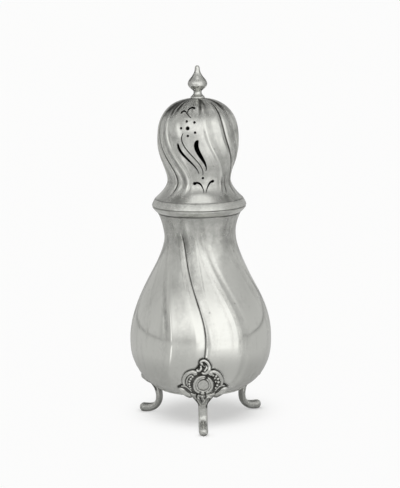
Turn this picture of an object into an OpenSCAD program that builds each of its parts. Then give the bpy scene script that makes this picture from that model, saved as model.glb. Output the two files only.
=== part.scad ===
// Sugar caster: pear body with swirled flutes on three cast feet, and a pierced
// pull-off cover with a screwed finial. Millimetres, +Z up, front foot at -Y.

/* [Body] */
// Floor to the flat base of the body
leg_h = 20.2; // [16:0.1:24]
// Radius of the flat base
base_r = 25.5; // [24:0.5:30]
// Base to the widest level of the bowl
bowl_h = 27.4; // [24:0.2:34]
// Exponent of the curve of the bowl, 2 is an ellipse
bowl_exp = 2.5; // [2:0.05:3]
// Widest radius, measured on the ridges
belly_r = 40; // [36:0.5:46]
// Widest level to the narrowest level of the neck
shoulder_h = 59.4; // [48:0.2:72]
// How full the shoulder is above an even S curve
shoulder_full = 0.15; // [0:0.01:0.4]
// Outer radius of the neck; the bezel and the sleeve are fitted to it
neck_r = 20.2; // [18:0.1:22]
// Narrowest level of the neck to the lip
flare_h = 11.6; // [9:0.2:15]
// Outer radius of the lip
lip_r = 23.2; // [22.5:0.1:24.5]
// Thickness of the raised silver sheet of the body
wall = 0.9; // [0.6:0.05:1.4]
// Thickness of the soldered base disc
plate_t = 0.9; // [0.6:0.05:1.4]
// Set back of the base disc inside the edge of the body
plate_inset = 0.3; // [0.2:0.05:0.6]
// Radius of the dish pressed into the base disc
dish_r = 18; // [12:0.5:21]
// Height of the dish pressed into the base disc
dish_h = 1.6; // [0.5:0.1:2.5]

/* [Swirl] */
// Swirled flutes round the body and the cover, one over each foot
flutes = 3; // [3:1:3]
// Angle between a crease and the ridges beside it, degrees
ridge_at = 28.5; // [24:0.5:34]
// Angle over which the crease rounds into its facets, degrees
crease_w = 8; // [6:0.5:12]
// Depth of the body creases as a share of the radius
crease_d = 0.034; // [0.01:0.002:0.045]
// Flattening of the facets beside a crease, as a share of the radius
facet_d = 0.012; // [0:0.001:0.02]
// Flattening of the wide panels, as a share of the radius
panel_d = 0.024; // [0:0.002:0.05]
// Furthest turn of a body crease from its foot, degrees
body_turn = 1.7; // [0:0.1:8]
// Backward sweep of a body crease at the neck, degrees
body_sweep = 31.7; // [20:0.1:50]
// Level above the base where a body crease turns back
turn_h = 33.8; // [30:0.1:40]
// Height below the crown where the cover creases begin to turn
swirl_drop = 8; // [4:0.5:12]
// Turn of a cover crease at the crown, degrees
cover_turn = 36; // [20:1:50]
// Further turn of a cover crease at its waist, degrees
cover_sweep = 36; // [20:1:45]
// Turn back of a cover crease in the skirt, degrees
skirt_sweep = 12; // [0:1:20]

/* [Feet] */
// Reach of the toe centres from the axis
toe_reach = 37.4; // [34:0.1:38]
// Radius of the rounded toes
toe_r = 3; // [2.5:0.1:3.4]
// Depth cut flat under each toe
toe_flat = 0.3; // [0.2:0.05:0.5]
// Half width of a leg below the cartouche
leg_half_w = 2.5; // [2.2:0.1:3.2]
// Set of the knee inside the edge of the base
knee_in = 0.4; // [0.4:0.1:1.2]
// Spread of a leg where it meets the cartouche, as a share of its width
leg_flare = 1.9; // [1.2:0.1:2.2]
// Half thickness of a leg
leg_half_t = 2; // [1.7:0.1:2.3]
// Height of the lower end of a cartouche over the base
cart_rise = 0; // [0:0.25:3]
// Height of the rocaille cartouche up the body
cart_h = 24; // [20:0.5:25]
// Half width of the cartouche at its pointed ears
cart_half_w = 13; // [11:0.5:15]
// Thickness of the cartouche plate at its middle
cart_t = 1.3; // [1:0.1:1.8]
// Thickness of the cartouche plate at its rim
cart_rim_t = 0.6; // [0.4:0.1:0.9]
// How much thicker the cartouche plate is where the leg starts
cart_swell = 2.5; // [1.5:0.1:3]
// Solder line between the body and a foot
solder = 0.18; // [0.1:0.02:0.3]
// Middle radius of the round C scroll
ring_r = 4.6; // [4:0.1:5]
// Radius of the bead that the scrolls are made of
scroll_r = 0.85; // [0.7:0.05:1.1]

/* [Neck and cover fit] */
// Height of the wire that rims the neck
neck_rim_h = 3.6; // [3:0.1:5]
// Widest radius of the two rims where they meet
rim_r = 26.3; // [25.6:0.1:28]
// Height of the wire that rims the cover
cover_rim_h = 4.2; // [3.6:0.1:6]
// Gap seen between the two rims when closed
joint_gap = 0.1; // [0.05:0.01:0.2]
// Gap between the neck and the bezel tube
neck_gap = 0.3; // [0.3:0.05:0.5]
// Thickness of the bezel tube
bezel_wall = 0.7; // [0.5:0.05:0.9]
// Thickness of the bezel flange let into the neck rim
flange_t = 0.8; // [0.6:0.05:1]
// Width of the bezel flange outside its tube
flange_w = 3.5; // [2.5:0.1:3.8]
// Depth of the bezel tube below its flange
bezel_depth = 12.8; // [10:0.2:15]
// Running gap of the bezel in the neck rim, on the radius
turn_gap = 0.05; // [0.02:0.01:0.1]
// Running gap of the cover sleeve in the bezel, on the radius
slide_gap = 0.05; // [0.02:0.01:0.1]
// Thickness of the cover sleeve
sleeve_wall = 0.7; // [0.5:0.05:0.9]
// Depth of the cover sleeve below the cover rim
sleeve_depth = 12; // [8:0.2:14]
// Thickness of the collar at the top of the sleeve
sleeve_collar_t = 0.8; // [0.6:0.05:1]
// Width of the collar outside the sleeve
sleeve_collar_w = 1.8; // [1.2:0.1:2.4]
// Small rounding at the edges of the rims
rim_ease = 0.5; // [0.3:0.05:0.7]
// How straight the slopes of the rims are, 1 is a quarter ellipse and 2 a cone
rim_cone = 1.5; // [1:0.1:2]

/* [Cover] */
// Rim to the waist of the cover
skirt_h = 10.2; // [8:0.2:14]
// Radius of the skirt where it meets its rim
skirt_r = 24.5; // [23.6:0.1:24.8]
// Exponent of the flare of the skirt
skirt_exp = 1.7; // [1.4:0.1:2.4]
// Radius of the waist
waist_r = 17.8; // [16.8:0.1:20]
// Waist to the widest level of the dome
bulb_h = 23.1; // [18:0.2:28]
// How full the dome is above an even S curve
bulb_full = 0.33; // [0.1:0.01:0.4]
// Widest radius of the dome
bulb_r = 22.9; // [21:0.1:25]
// Widest level of the dome to its crown
crown_h = 22; // [18:0.2:26]
// Exponent of the rounded crown, 2 is an ellipse
crown_exp = 2.4; // [2:0.05:2.6]
// Radius of the flat seat under the finial
seat_r = 4.6; // [4.4:0.1:5.5]
// Thickness of the raised silver sheet of the cover
cover_wall = 0.8; // [0.6:0.05:1.2]
// Depth of the cover creases as a share of the radius
cover_crease_d = 0.04; // [0.01:0.002:0.05]

/* [Piercing] */
// Half width of the thick S slot
slot_wide = 1.3; // [0.8:0.05:1.4]
// Half width of the tapered slot
slot_mid = 0.8; // [0.5:0.05:1]
// Half width of the fine slot
slot_fine = 0.3; // [0.25:0.05:0.6]
// Half width of the curled slots
slot_curl = 0.5; // [0.3:0.05:0.6]
// Half width at the ends of every slot
slot_end = 0.15; // [0.1:0.05:0.25]
// Radius of the middle hole of the flower
flower_r = 0.95; // [0.7:0.05:1.2]
// Radius of the small holes
dot_r = 0.6; // [0.4:0.05:0.8]
// Radius of the round ends of the curls
knob_r = 0.75; // [0.5:0.05:0.9]

/* [Finial] */
// Height of the finial above the crown
finial_h = 18.1; // [14:0.1:22]
// Radius of the foot of the finial
finial_foot_r = 3.9; // [3.4:0.1:4.2]
// Radius of the neck of the finial
finial_neck_r = 2.2; // [1.8:0.1:2.6]
// Radius of the bulb of the finial
finial_bulb_r = 5.4; // [4.5:0.1:6.5]
// Radius of the blunt tip of the finial
finial_tip_r = 1.2; // [0.9:0.1:1.6]
// Radius of the threaded shank
shank_r = 1.5; // [1.2:0.1:1.8]
// Length of the shank below the finial
shank_len = 6; // [5:0.1:8]
// Gap between the shank and the parts it passes
shank_gap = 0.1; // [0.05:0.01:0.15]
// Running gap of the nut on the shank
thread_gap = 0.03; // [0.02:0.01:0.06]
// Outer radius of the washer
washer_r = 3.8; // [3.2:0.1:4.2]
// Thickness of the washer
washer_t = 0.7; // [0.5:0.05:1]
// Width of the nut across its flats
nut_af = 5.5; // [5:0.1:6]
// Thickness of the nut
nut_t = 2.2; // [1.8:0.1:2.6]

/* [Hidden] */
silver = [0.80, 0.79, 0.76];
pale = [0.86, 0.85, 0.82];
dark = [0.62, 0.60, 0.56];

// levels
base_z = leg_h;
belly_z = base_z + bowl_h;
neck_z = belly_z + shoulder_h;
lip_z = neck_z + flare_h;
joint_z = lip_z + neck_rim_h;
cover_z = joint_z + joint_gap;
skirt_z = cover_z + cover_rim_h;
waist_z = skirt_z + skirt_h;
bulb_z = waist_z + bulb_h;
crown_z = bulb_z + crown_h;
tip_z = crown_z + finial_h;

// fits
bezel_or = neck_r - wall - neck_gap;
bezel_ir = bezel_or - bezel_wall;
sleeve_or = bezel_ir - slide_gap;
sleeve_ir = sleeve_or - sleeve_wall;
flange_r = bezel_or + flange_w;
collar_r = sleeve_or + sleeve_collar_w;
collar_z = cover_z + cover_rim_h / 2;
shank_hole_r = shank_r + shank_gap;

// sheet shapes
step = 360 / flutes;
bowl_drop = bowl_h / pow(1 - pow(base_r / belly_r, bowl_exp), 1 / bowl_exp);
crown_end = acos(pow(seat_r / bulb_r, crown_exp / 2));
crown_rise = crown_h / pow(sin(crown_end), 2 / crown_exp);
half_turn = [0, 2.5, 8, 15, 22, ridge_at, 36, 44, 52];
columns = concat([for (i = [len(half_turn) - 1:-1:1]) -half_turn[i]], half_turn, [step / 2]);
probe = wall / 18;
body_rows = 28;
skirt_rows = 12;
crown_rows = 10;

function smooth(t) = t <= 0 ? 0 : t >= 1 ? 1 : t * t * (3 - 2 * t);
function fuller(t, k) = smooth(t + k * t * (1 - t));
function mix(a, b, t) = a + (b - a) * t;
function wrap(a) = a - step * round(a / step);
function bezier(p, t) = p[0] * pow(1 - t, 3) + 3 * p[1] * t * pow(1 - t, 2) + 3 * p[2] * t * t * (1 - t) + p[3] * pow(t, 3);
function polar(r, a, z) = [r * sin(a), -r * cos(a), z];
function unit(v) = v / norm(v);

// outlines of the sheets before fluting
function body_r(z) =
    z < belly_z ? belly_r * pow(1 - pow((belly_z - z) / bowl_drop, bowl_exp), 1 / bowl_exp)
    : z < neck_z ? mix(neck_r, belly_r, fuller((neck_z - z) / shoulder_h, shoulder_full))
    : mix(neck_r, lip_r, pow((z - neck_z) / flare_h, 2));
function cover_r(z) =
    z < waist_z ? mix(waist_r, skirt_r, pow((waist_z - z) / skirt_h, skirt_exp))
    : z < bulb_z ? mix(waist_r, bulb_r, fuller((z - waist_z) / bulb_h, bulb_full))
    : bulb_r * pow(max(0, 1 - pow(min(1, (z - bulb_z) / crown_rise), crown_exp)), 1 / crown_exp);
function body_slope(z) = (body_r(z + probe) - body_r(z - probe)) / (2 * probe);
function cover_slope(z) = (cover_r(z + probe) - cover_r(z - probe)) / (2 * probe);

// swirl of the creases
function body_twist(z) = let (t = (z - base_z - turn_h) / (neck_z - base_z - turn_h)) body_turn - body_sweep * t * t * (t > 0 ? 2 - t : 1);
function cover_twist(z) =
    cover_turn + (z > waist_z ? cover_sweep * smooth(pow(max(0, (crown_z - swirl_drop - z) / (crown_z - swirl_drop - waist_z)), 1.4))
    : cover_sweep - skirt_sweep * pow((waist_z - z) / skirt_h, 1.5));

// how deep the flutes are along the height
function body_fade(z) = smooth((z - base_z) / (0.5 * bowl_h)) * smooth((neck_z - z) / (0.2 * shoulder_h));
function cover_fade(z) = smooth((z - skirt_z) / (0.8 * skirt_h)) * smooth((crown_z - z) / (0.12 * crown_h));

// share of the radius taken off at an angle from the crease
function facets(a) =
    abs(a) < ridge_at ? facet_d * 4 * abs(a) / ridge_at * (1 - abs(a) / ridge_at)
    : panel_d * (1 - pow((step / 2 - abs(a)) / (step / 2 - ridge_at), 2));
function crease(a, d) = abs(a) < crease_w ? d * pow(1 - abs(a) / crease_w, 2) : 0;

// closed sheet between an outer and an inner grid of points
module sheet(outer, inner) {
    n = len(outer[0]);
    m = len(outer);
    half = m * n;
    function at(i, j) = i * n + j % n;
    polyhedron(
        points = concat([for (row = outer) each row], [for (row = inner) each row]),
        faces = concat(
            [for (i = [0:m - 2], j = [0:n - 1]) each [
                [at(i, j), at(i + 1, j), at(i + 1, j + 1)], [at(i, j), at(i + 1, j + 1), at(i, j + 1)],
                [half + at(i, j), half + at(i + 1, j + 1), half + at(i + 1, j)], [half + at(i, j), half + at(i, j + 1), half + at(i + 1, j + 1)]]],
            [for (j = [0:n - 1]) each [
                [at(0, j), at(0, j + 1), half + at(0, j + 1)], [at(0, j), half + at(0, j + 1), half + at(0, j)],
                [at(m - 1, j), half + at(m - 1, j + 1), at(m - 1, j + 1)], [at(m - 1, j), half + at(m - 1, j), half + at(m - 1, j + 1)]]]));
}

// closed skin over a list of rings, with flat ends
module skin(rings) {
    n = len(rings[0]);
    m = len(rings);
    polyhedron(
        points = [for (ring = rings) each ring],
        faces = concat(
            [for (i = [0:m - 2], j = [0:n - 1]) each [
                [i * n + j, (i + 1) * n + j, (i + 1) * n + (j + 1) % n], [i * n + j, (i + 1) * n + (j + 1) % n, i * n + (j + 1) % n]]],
            [for (j = [1:n - 2]) [0, j, j + 1]],
            [for (j = [1:n - 2]) [(m - 1) * n, (m - 1) * n + j + 1, (m - 1) * n + j]]));
}

// all the angles of one ring of a sheet, with the distance to its crease
turns = [for (k = [0:flutes - 1], c = columns) [k * step + c, c]];

function body_ring(z, off) =
    [for (t = turns) polar((body_r(z) - off) * (1 - body_fade(z) * (facets(t[1]) + crease(t[1], crease_d))), t[0] + body_twist(z), z)];
function cover_ring(r, z, level) =
    [for (t = turns) polar(r * (1 - cover_fade(level) * (facets(t[1]) + crease(t[1], cover_crease_d))), t[0] + cover_twist(level), z)];

module body_shell() {
    zs = [for (i = [0:body_rows]) mix(base_z, lip_z, i / body_rows)];
    color(silver)
    sheet([for (z = zs) body_ring(z, 0)], [for (z = zs) body_ring(z, wall * sqrt(1 + pow(body_slope(z), 2)))]);
}

module base_plate() {
    edge = base_r - plate_inset;
    color(dark)
    rotate_extrude($fn = 96)
    polygon([[0, base_z - plate_t + dish_h], [dish_r - dish_h, base_z - plate_t + dish_h], [dish_r, base_z - plate_t], [edge, base_z - plate_t],
             [edge, base_z], [dish_r + plate_t / 2, base_z], [dish_r - dish_h + plate_t / 2, base_z + dish_h], [0, base_z + dish_h]]);
}

// wire that rims the neck, soldered on the lip, with a step for the bezel flange
module neck_rim() {
    bore = bezel_or + turn_gap;
    belly = [for (i = [0:6]) let (a = 15 * i)
        [mix(lip_r + rim_ease, rim_r - rim_ease / 2, pow(sin(a), rim_cone)), mix(lip_z + rim_ease, joint_z - rim_ease, 1 - pow(cos(a), rim_cone))]];
    color(pale)
    rotate_extrude($fn = 96)
    polygon(concat([[bore, lip_z], [lip_r, lip_z]], belly,
        [[rim_r - rim_ease, joint_z], [flange_r + turn_gap, joint_z], [flange_r + turn_gap, joint_z - flange_t], [bore, joint_z - flange_t]]));
}

module neck_bezel() {
    foot = joint_z - flange_t;
    color(silver)
    rotate_extrude($fn = 96)
    polygon([[bezel_ir, foot - bezel_depth], [bezel_or, foot - bezel_depth], [bezel_or, foot], [flange_r, foot], [flange_r, joint_z], [bezel_ir, joint_z]]);
}

// wire that rims the cover, with a ledge for the collar of the sleeve
module cover_rim() {
    bore = sleeve_or + thread_gap;
    room = collar_r + thread_gap;
    bulge = [for (i = [0:6]) let (a = 15 * i)
        [mix(skirt_r, rim_r, pow(cos(a), rim_cone)), mix(cover_z + rim_ease, skirt_z, pow(sin(a), rim_cone))]];
    color(pale)
    rotate_extrude($fn = 96)
    polygon(concat([[bore, cover_z], [rim_r - rim_ease, cover_z]], bulge, [[room, skirt_z], [room, collar_z], [bore, collar_z]]));
}

module cover_sleeve() {
    low = cover_z - sleeve_depth;
    color(silver)
    rotate_extrude($fn = 96)
    polygon([[sleeve_ir, low], [sleeve_or, low], [sleeve_or, collar_z], [collar_r, collar_z], [collar_r, collar_z + sleeve_collar_t], [sleeve_ir, collar_z + sleeve_collar_t]]);
}

// motif of a pierced panel: degrees from the middle of the panel, share of the height from waist to crown
slots = [
    [[[17.5, 0.54], [1, 0.43], [15, 0.24], [3, 0.15]], slot_wide],
    [[[-1.5, 0.62], [-17.5, 0.47], [8.5, 0.26], [-4.5, 0.10]], slot_fine],
    [[[-14, 0.50], [-22, 0.36], [-7, 0.26], [-10, 0.12]], slot_mid],
    [[[-8, 0.86], [-6, 0.89], [1, 0.88], [4, 0.83]], slot_curl],
    [[[15, 0.91], [4, 0.94], [-3, 0.86], [11, 0.80]], slot_curl],
    [[[-21.5, 0.00], [-15, 0.03], [-7, -0.02], [-2, -0.11]], slot_curl],
    [[[12, 0.02], [7, 0.025], [1, -0.03], [1.5, -0.11]], slot_curl]];
holes = [
    [6, 0.68, flower_r], [4.5, 0.76, dot_r], [16.5, 0.75, dot_r], [-4, 0.68, dot_r], [4.5, 0.59, dot_r], [16, 0.63, dot_r], [-5.5, 0.065, dot_r],
    [-8, 0.86, knob_r], [15, 0.91, knob_r], [-21.5, 0.00, knob_r], [12, 0.02, knob_r]];
slot_steps = 8;
cut_in = 3.5;
cut_out = 2;

function pierce_z(v) = mix(waist_z, crown_z, v);
function pierce_a(a, z) = cover_twist(z) - step / 2 + a;

// prism through the sheet along one slot
module slot_cut(path, w) {
    function mid(t) = let (p = bezier(path, t), z = pierce_z(p[1])) [pierce_a(p[0], z), z];
    function ends(t) =
        let (a = mid(t - 0.02), b = mid(t + 0.02), m = mid(t), r = cover_r(m[1]), arc = r * PI / 180,
             run = unit([(b[0] - a[0]) * arc, b[1] - a[1]]), half = slot_end + (w - slot_end) * 3.08 * sqrt(t) * pow(1 - t, 1.5))
        [for (s = [-1, 1]) [m[0] - s * half * run[1] / arc, m[1] + s * half * run[0], r]];
    skin([for (i = [0:slot_steps]) let (e = ends(i / slot_steps))
        [polar(e[0][2] - cut_in, e[0][0], e[0][1]), polar(e[1][2] - cut_in, e[1][0], e[1][1]),
         polar(e[1][2] + cut_out, e[1][0], e[1][1]), polar(e[0][2] + cut_out, e[0][0], e[0][1])]]);
}

module cover_dome() {
    low = [for (i = [0:skirt_rows]) let (z = mix(skirt_z, bulb_z, i / skirt_rows)) [cover_r(z), z, cover_r(z) - cover_wall * sqrt(1 + pow(cover_slope(z), 2)), z]];
    high = [for (i = [1:crown_rows - 1])
        let (a = crown_end * i / crown_rows, e = 2 / crown_exp, r = bulb_r * pow(cos(a), e), z = bulb_z + crown_rise * pow(sin(a), e),
             n = unit([1, -cover_slope(z)])) [r, z, r - cover_wall * n[0], z - cover_wall * n[1]]];
    top = [[seat_r, crown_z, seat_r, crown_z - cover_wall], [shank_hole_r, crown_z, shank_hole_r, crown_z - cover_wall]];
    rows = concat(low, high, top);
    color(silver)
    difference() {
        sheet([for (p = rows) cover_ring(p[0], p[1], p[1])], [for (p = rows) cover_ring(p[2], p[3], p[1])]);
        for (k = [0:flutes - 1]) rotate([0, 0, k * step]) {
            for (s = slots) slot_cut(s[0], s[1]);
            for (h = holes) let (z = pierce_z(h[1]))
                rotate([0, 0, pierce_a(h[0], z)]) translate([0, cut_in - cover_r(z), z]) rotate([90, 0, 0]) cylinder(r = h[2], h = cut_in + cut_out, $fn = 24);
        }
    }
}

// outline of the cartouche: share of its height, share of its half width
cart_shape = [[0, 0.44], [0.1, 0.72], [0.18, 0.92], [0.27, 1], [0.36, 0.97], [0.46, 0.86], [0.58, 0.8], [0.66, 0.7], [0.71, 0.56], [0.76, 0.36], [0.84, 0.29], [0.92, 0.2], [1, 0.06]];
cart_z = base_z + cart_rise;
// scrolls of the cartouche: share of the half width, share of the height
scrolls = [
    [[-0.72, 0.30], [-0.86, 0.42], [-0.62, 0.66], [-0.34, 0.70]],
    [[0.72, 0.30], [0.86, 0.42], [0.62, 0.66], [0.34, 0.70]],
    [[-0.20, 0.72], [-0.34, 0.92], [0.10, 1.00], [0.22, 0.84]]];

function cart_level(v) = cart_z + cart_h * v;
// thickening of the plate towards the leg, which sets its face more upright than the body
function swell(v) = cart_swell * smooth((0.62 - v) / 0.55);
// body surface under a foot, with the solder between them
function seat(a, z) = let (turn = wrap(a - body_twist(z))) body_r(z) * (1 - body_fade(z) * (facets(turn) + crease(turn, crease_d))) + solder;
function cart_point(u, z, lift) = let (a = u / body_r(z) * 180 / PI) polar(seat(a, z) + lift, a, z);

module cartouche() {
    cols = [-1, -0.75, -0.5, -0.25, 0, 0.25, 0.5, 0.75, 1];
    function lift(s, v) = mix(cart_rim_t, cart_t + swell(v), 1 - s * s);
    skin([for (p = cart_shape) let (z = cart_level(p[0]), w = cart_half_w * p[1])
        concat([for (s = cols) cart_point(s * w, z, lift(s, p[0]))], [for (i = [len(cols) - 1:-1:0]) cart_point(cols[i] * w, z, 0)])]);
}

module scroll(path) {
    sides = 6;
    steps = 8;
    function mid(t) = let (p = bezier(path, t), z = cart_level(p[1])) cart_point(p[0] * cart_half_w, z, cart_t / 2 + 0.4 * swell(p[1]));
    skin([for (i = [0:steps]) let (t = i / steps, m = mid(t), run = unit(mid(t + 0.02) - mid(t - 0.02)),
        out = unit(cross(run, cross([m[0], m[1], 0], run))), side = cross(run, out), r = scroll_r * mix(0.6, 1, sin(180 * t)))
        [for (j = [0:sides - 1]) let (a = 360 * j / sides) m + r * (cos(a) * out + sin(a) * side)]]);
}

// round C scroll with its disc, lying on the plate
module scroll_ring() {
    z = cart_level(0.36);
    tilt = atan(body_slope(z) + (swell(0.38) - swell(0.34)) / (0.04 * cart_h));
    translate([0, -seat(0, z) - cart_t - swell(0.36), z]) rotate([90 + tilt, 0, 0]) {
        rotate_extrude($fn = 48) translate([ring_r, 0]) circle(r = scroll_r, $fn = 16);
        translate([0, 0, -1.5 * cart_t]) cylinder(r = ring_r, h = 1.5 * cart_t, $fn = 48);
    }
}

module leg() {
    sides = 10;
    steps = 11;
    top = cart_level(0.12);
    toe_z = toe_r - toe_flat;
    path = [[seat(0, top) + leg_half_t, top], [base_r - knee_in, 0.65 * leg_h], [base_r - 3 * knee_in, toe_z], [toe_reach, toe_z]];
    body = [for (i = [0:steps]) let (t = i / steps, p = bezier(path, t), run = unit(bezier(path, min(1, t + 0.02)) - bezier(path, t - 0.02)), g = smooth((t - 0.6) / 0.4))
        [p, run, mix(leg_half_w * mix(leg_flare, 1, smooth(t / 0.35)), toe_r, g), mix(leg_half_t, toe_r, g)]];
    cap = [for (a = [30, 60, 80]) [[toe_reach + toe_r * sin(a), toe_z], [1, 0], toe_r * cos(a), toe_r * cos(a)]];
    skin([for (s = concat(body, cap)) let (out = [-s[1][1], s[1][0]])
        [for (j = [0:sides - 1]) let (a = -360 * j / sides, d = s[3] * cos(a)) [s[2] * sin(a), -(s[0][0] + d * out[0]), s[0][1] + d * out[1]]]]);
}

module foot(turn) {
    color(silver)
    rotate([0, 0, turn])
    difference() {
        union() {
            cartouche();
            scroll_ring();
            for (s = scrolls) scroll(s);
            leg();
        }
        translate([-cart_half_w, -2 * belly_r, -2 * toe_r]) cube([2 * cart_half_w, 2 * belly_r, 2 * toe_r]);
    }
}

module front_foot() { foot(0); }
module right_foot() { foot(step); }
module left_foot() { foot(-step); }

module finial() {
    f = finial_h;
    bulb = [for (i = [0:12]) let (a = -70 + 12.5 * i) [finial_bulb_r * pow(cos(a), a < 0 ? 1 : 1.3), crown_z + f * (0.44 + 0.2 * sin(a) + (a > 0 ? 0.16 * pow(a / 80, 2) : 0))]];
    color(pale)
    rotate_extrude($fn = 96)
    polygon(concat(
        [[0, crown_z - shank_len], [0.8 * shank_r, crown_z - shank_len], [shank_r, crown_z - shank_len + 0.2 * shank_r], [shank_r, crown_z], [finial_foot_r, crown_z],
         [finial_foot_r, crown_z + 0.05 * f], [0.85 * finial_foot_r, crown_z + 0.09 * f], [1.1 * finial_neck_r, crown_z + 0.12 * f], [finial_neck_r, crown_z + 0.17 * f]],
        [for (p = bulb) if (p[0] > finial_neck_r) p],
        [[finial_tip_r, crown_z + 0.9 * f], [0.9 * finial_tip_r, tip_z - 0.6 * finial_tip_r], [0.6 * finial_tip_r, tip_z - 0.12 * finial_tip_r], [0, tip_z]]));
}

module finial_washer() {
    color(dark)
    translate([0, 0, crown_z - cover_wall - washer_t])
    difference() {
        cylinder(r = washer_r, h = washer_t, $fn = 48);
        translate([0, 0, -washer_t]) cylinder(r = shank_hole_r, h = 3 * washer_t, $fn = 48);
    }
}

module finial_nut() {
    color(dark)
    translate([0, 0, crown_z - cover_wall - washer_t - nut_t])
    difference() {
        cylinder(d = nut_af / cos(30), h = nut_t, $fn = 6);
        translate([0, 0, -nut_t]) cylinder(r = shank_r + thread_gap, h = 3 * nut_t, $fn = 48);
    }
}

body_shell();
base_plate();
neck_rim();
neck_bezel();
front_foot();
left_foot();
right_foot();
cover_dome();
cover_rim();
cover_sleeve();
finial();
finial_washer();
finial_nut();
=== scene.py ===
"""Silver sugar caster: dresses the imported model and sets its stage."""

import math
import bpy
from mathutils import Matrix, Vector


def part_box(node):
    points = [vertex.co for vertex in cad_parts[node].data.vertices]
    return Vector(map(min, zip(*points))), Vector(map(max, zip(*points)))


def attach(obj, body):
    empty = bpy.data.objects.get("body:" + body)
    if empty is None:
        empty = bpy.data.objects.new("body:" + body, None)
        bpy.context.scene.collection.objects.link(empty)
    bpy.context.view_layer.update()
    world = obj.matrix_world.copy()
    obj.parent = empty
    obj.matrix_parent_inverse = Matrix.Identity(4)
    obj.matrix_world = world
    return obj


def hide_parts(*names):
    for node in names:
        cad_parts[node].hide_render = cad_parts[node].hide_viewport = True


bl_info = {
    "name": "Sugar Caster",
    "version": (1, 0, 0),
    "blender": (4, 5, 0),
    "location": "View3D > Sidebar > Caster",
    "description": "Dresses the packed sugar caster in silver and sets its stage",
    "category": "Object",
}

from types import SimpleNamespace

import bmesh
import bpy
import numpy as np
from mathutils import Matrix
from mathutils.kdtree import KDTree

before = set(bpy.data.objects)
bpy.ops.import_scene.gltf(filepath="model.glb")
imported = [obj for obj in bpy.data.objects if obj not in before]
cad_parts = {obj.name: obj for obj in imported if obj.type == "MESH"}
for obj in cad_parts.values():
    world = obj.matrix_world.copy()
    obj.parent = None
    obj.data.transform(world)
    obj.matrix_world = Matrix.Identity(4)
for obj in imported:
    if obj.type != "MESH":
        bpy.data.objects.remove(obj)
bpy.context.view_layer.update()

MM = 0.001
FLUTES = 3
STEP = 2 * math.pi / FLUTES
HALF_STEP = STEP / 2
# how near points are where they merge, and the angle from which the edge of a turned piece is sharp
MERGE = 1e-6
SHARP = math.radians(40)


# sizes and colours

def number(name, description, default, **settings):
    return bpy.props.FloatProperty(name=name, description=description, default=default, **settings)


def length(name, description, millimetres):
    return number(name, description, millimetres * MM, unit="LENGTH", precision=5)


def share(name, description, default):
    return number(name, description, default, precision=4)


def angle(name, description, degrees):
    return number(name, description, math.radians(degrees), subtype="ANGLE")


def colour(name, description, default):
    return bpy.props.FloatVectorProperty(
        name=name, description=description, default=default, size=3, subtype="COLOR", min=0, max=1)


class CasterBody(bpy.types.PropertyGroup):
    """Sizes of the pear body"""
    base_z: length("Base level", "Height of the base over the floor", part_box("body_shell")[0].z / MM)
    base_r: length("Base radius", "Radius of the body at its base", 25.5)
    bowl_h: length("Bowl height", "From the base up to the belly", 27.4)
    bowl_exp: share("Bowl squareness", "Exponent of the curve of the bowl", 2.5)
    belly_r: length("Belly radius", "Radius of the body at its belly", 39.9)
    shoulder_h: length("Shoulder height", "From the belly up to the neck", 59.4)
    shoulder_full: share("Shoulder fullness", "How far the shoulder swells over an even curve", 0.15)
    neck_r: length("Neck radius", "Radius of the body at its neck", 20.2)
    flare_h: length("Flare height", "From the neck up to the lip", 11.6)
    lip_r: length("Lip radius", "Radius of the body at its lip", 23.2)
    wall: length("Body wall", "Thickness of the sheet of the body", 0.9)
    rim_cone: share(
        "Rim slope", "How straight the slopes of the rims are, 1 is a quarter ellipse and 2 a cone", 1.75)


class CasterFlutes(bpy.types.PropertyGroup):
    """Sizes of the swirled flutes on the body and the cover"""
    ridge_left: angle("Left ridge", "From a crease of the body to the soft ridge on its left", 28)
    ridge_right: angle("Right ridge", "From a crease of the body to the soft ridge on its right", 31)
    roll_left: angle("Left roll", "From a crease of the body to the roll on its left", 8)
    roll_low: angle(
        "Right roll at the belly", "From a crease of the body to the roll on its right, at the belly", 5)
    roll_high: angle(
        "Right roll at the neck", "From a crease of the body to the roll on its right, at the neck", 21)
    cover_left: angle("Left cover ridge", "From a crease of the cover to the soft ridge on its left", 29)
    cover_right: angle("Right cover ridge", "From a crease of the cover to the soft ridge on its right", 23)
    cover_roll: angle("Cover roll", "From a crease of the cover to the roll beside it", 7)
    facet_d: share("Facet depth", "Share of the radius that a facet is hollowed by", 0.012)
    panel_d: share("Panel depth", "Share of the radius that a panel falls back by", 0.024)
    cover_facet: share(
        "Cover facet depth", "Share of the radius that a facet of the cover is hollowed by", 0.026)
    groove_w: angle("Groove width", "Width of the groove on the far side of a ridge", 10)
    groove_d: share(
        "Groove depth", "Share of the radius that the groove beside a ridge of the body is deep", 0.008)
    cover_groove: share(
        "Cover groove depth", "Share of the radius that the groove beside a cover ridge is deep", 0.018)
    neck_gain: share("Neck gain", "How much deeper the flutes are at the neck than at the belly", 0.6)
    body_fold: share("Body crease depth", "Share of the radius that a crease of the body cuts in", 0.034)
    cover_fold: share("Cover crease depth", "Share of the radius that a crease of the cover cuts in", 0.04)
    body_turn: angle("Body turn", "Where a crease turns back, from the middle of its foot", 1.7)
    body_sweep: angle("Body sweep", "How far a crease swings back up to the neck", 31.7)
    turn_h: length("Turn height", "From the base up to where a crease turns back", 33.8)
    cover_turn: angle("Cover turn", "Place of the creases at the crown", 36)
    cover_sweep: angle("Cover sweep", "How far a crease swings from the crown to the waist", 36)
    skirt_sweep: angle("Skirt sweep", "How far a crease swings back on the skirt", 12)
    wander: angle("Wander", "How far the flutes of the cover stray from even spacing by hand", 9)
    wander_from: angle("Wander from", "Where the flutes of the cover do not stray", 45)
    swirl_drop: length("Swirl drop", "How far under the crown the swirl starts", 8)


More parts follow.
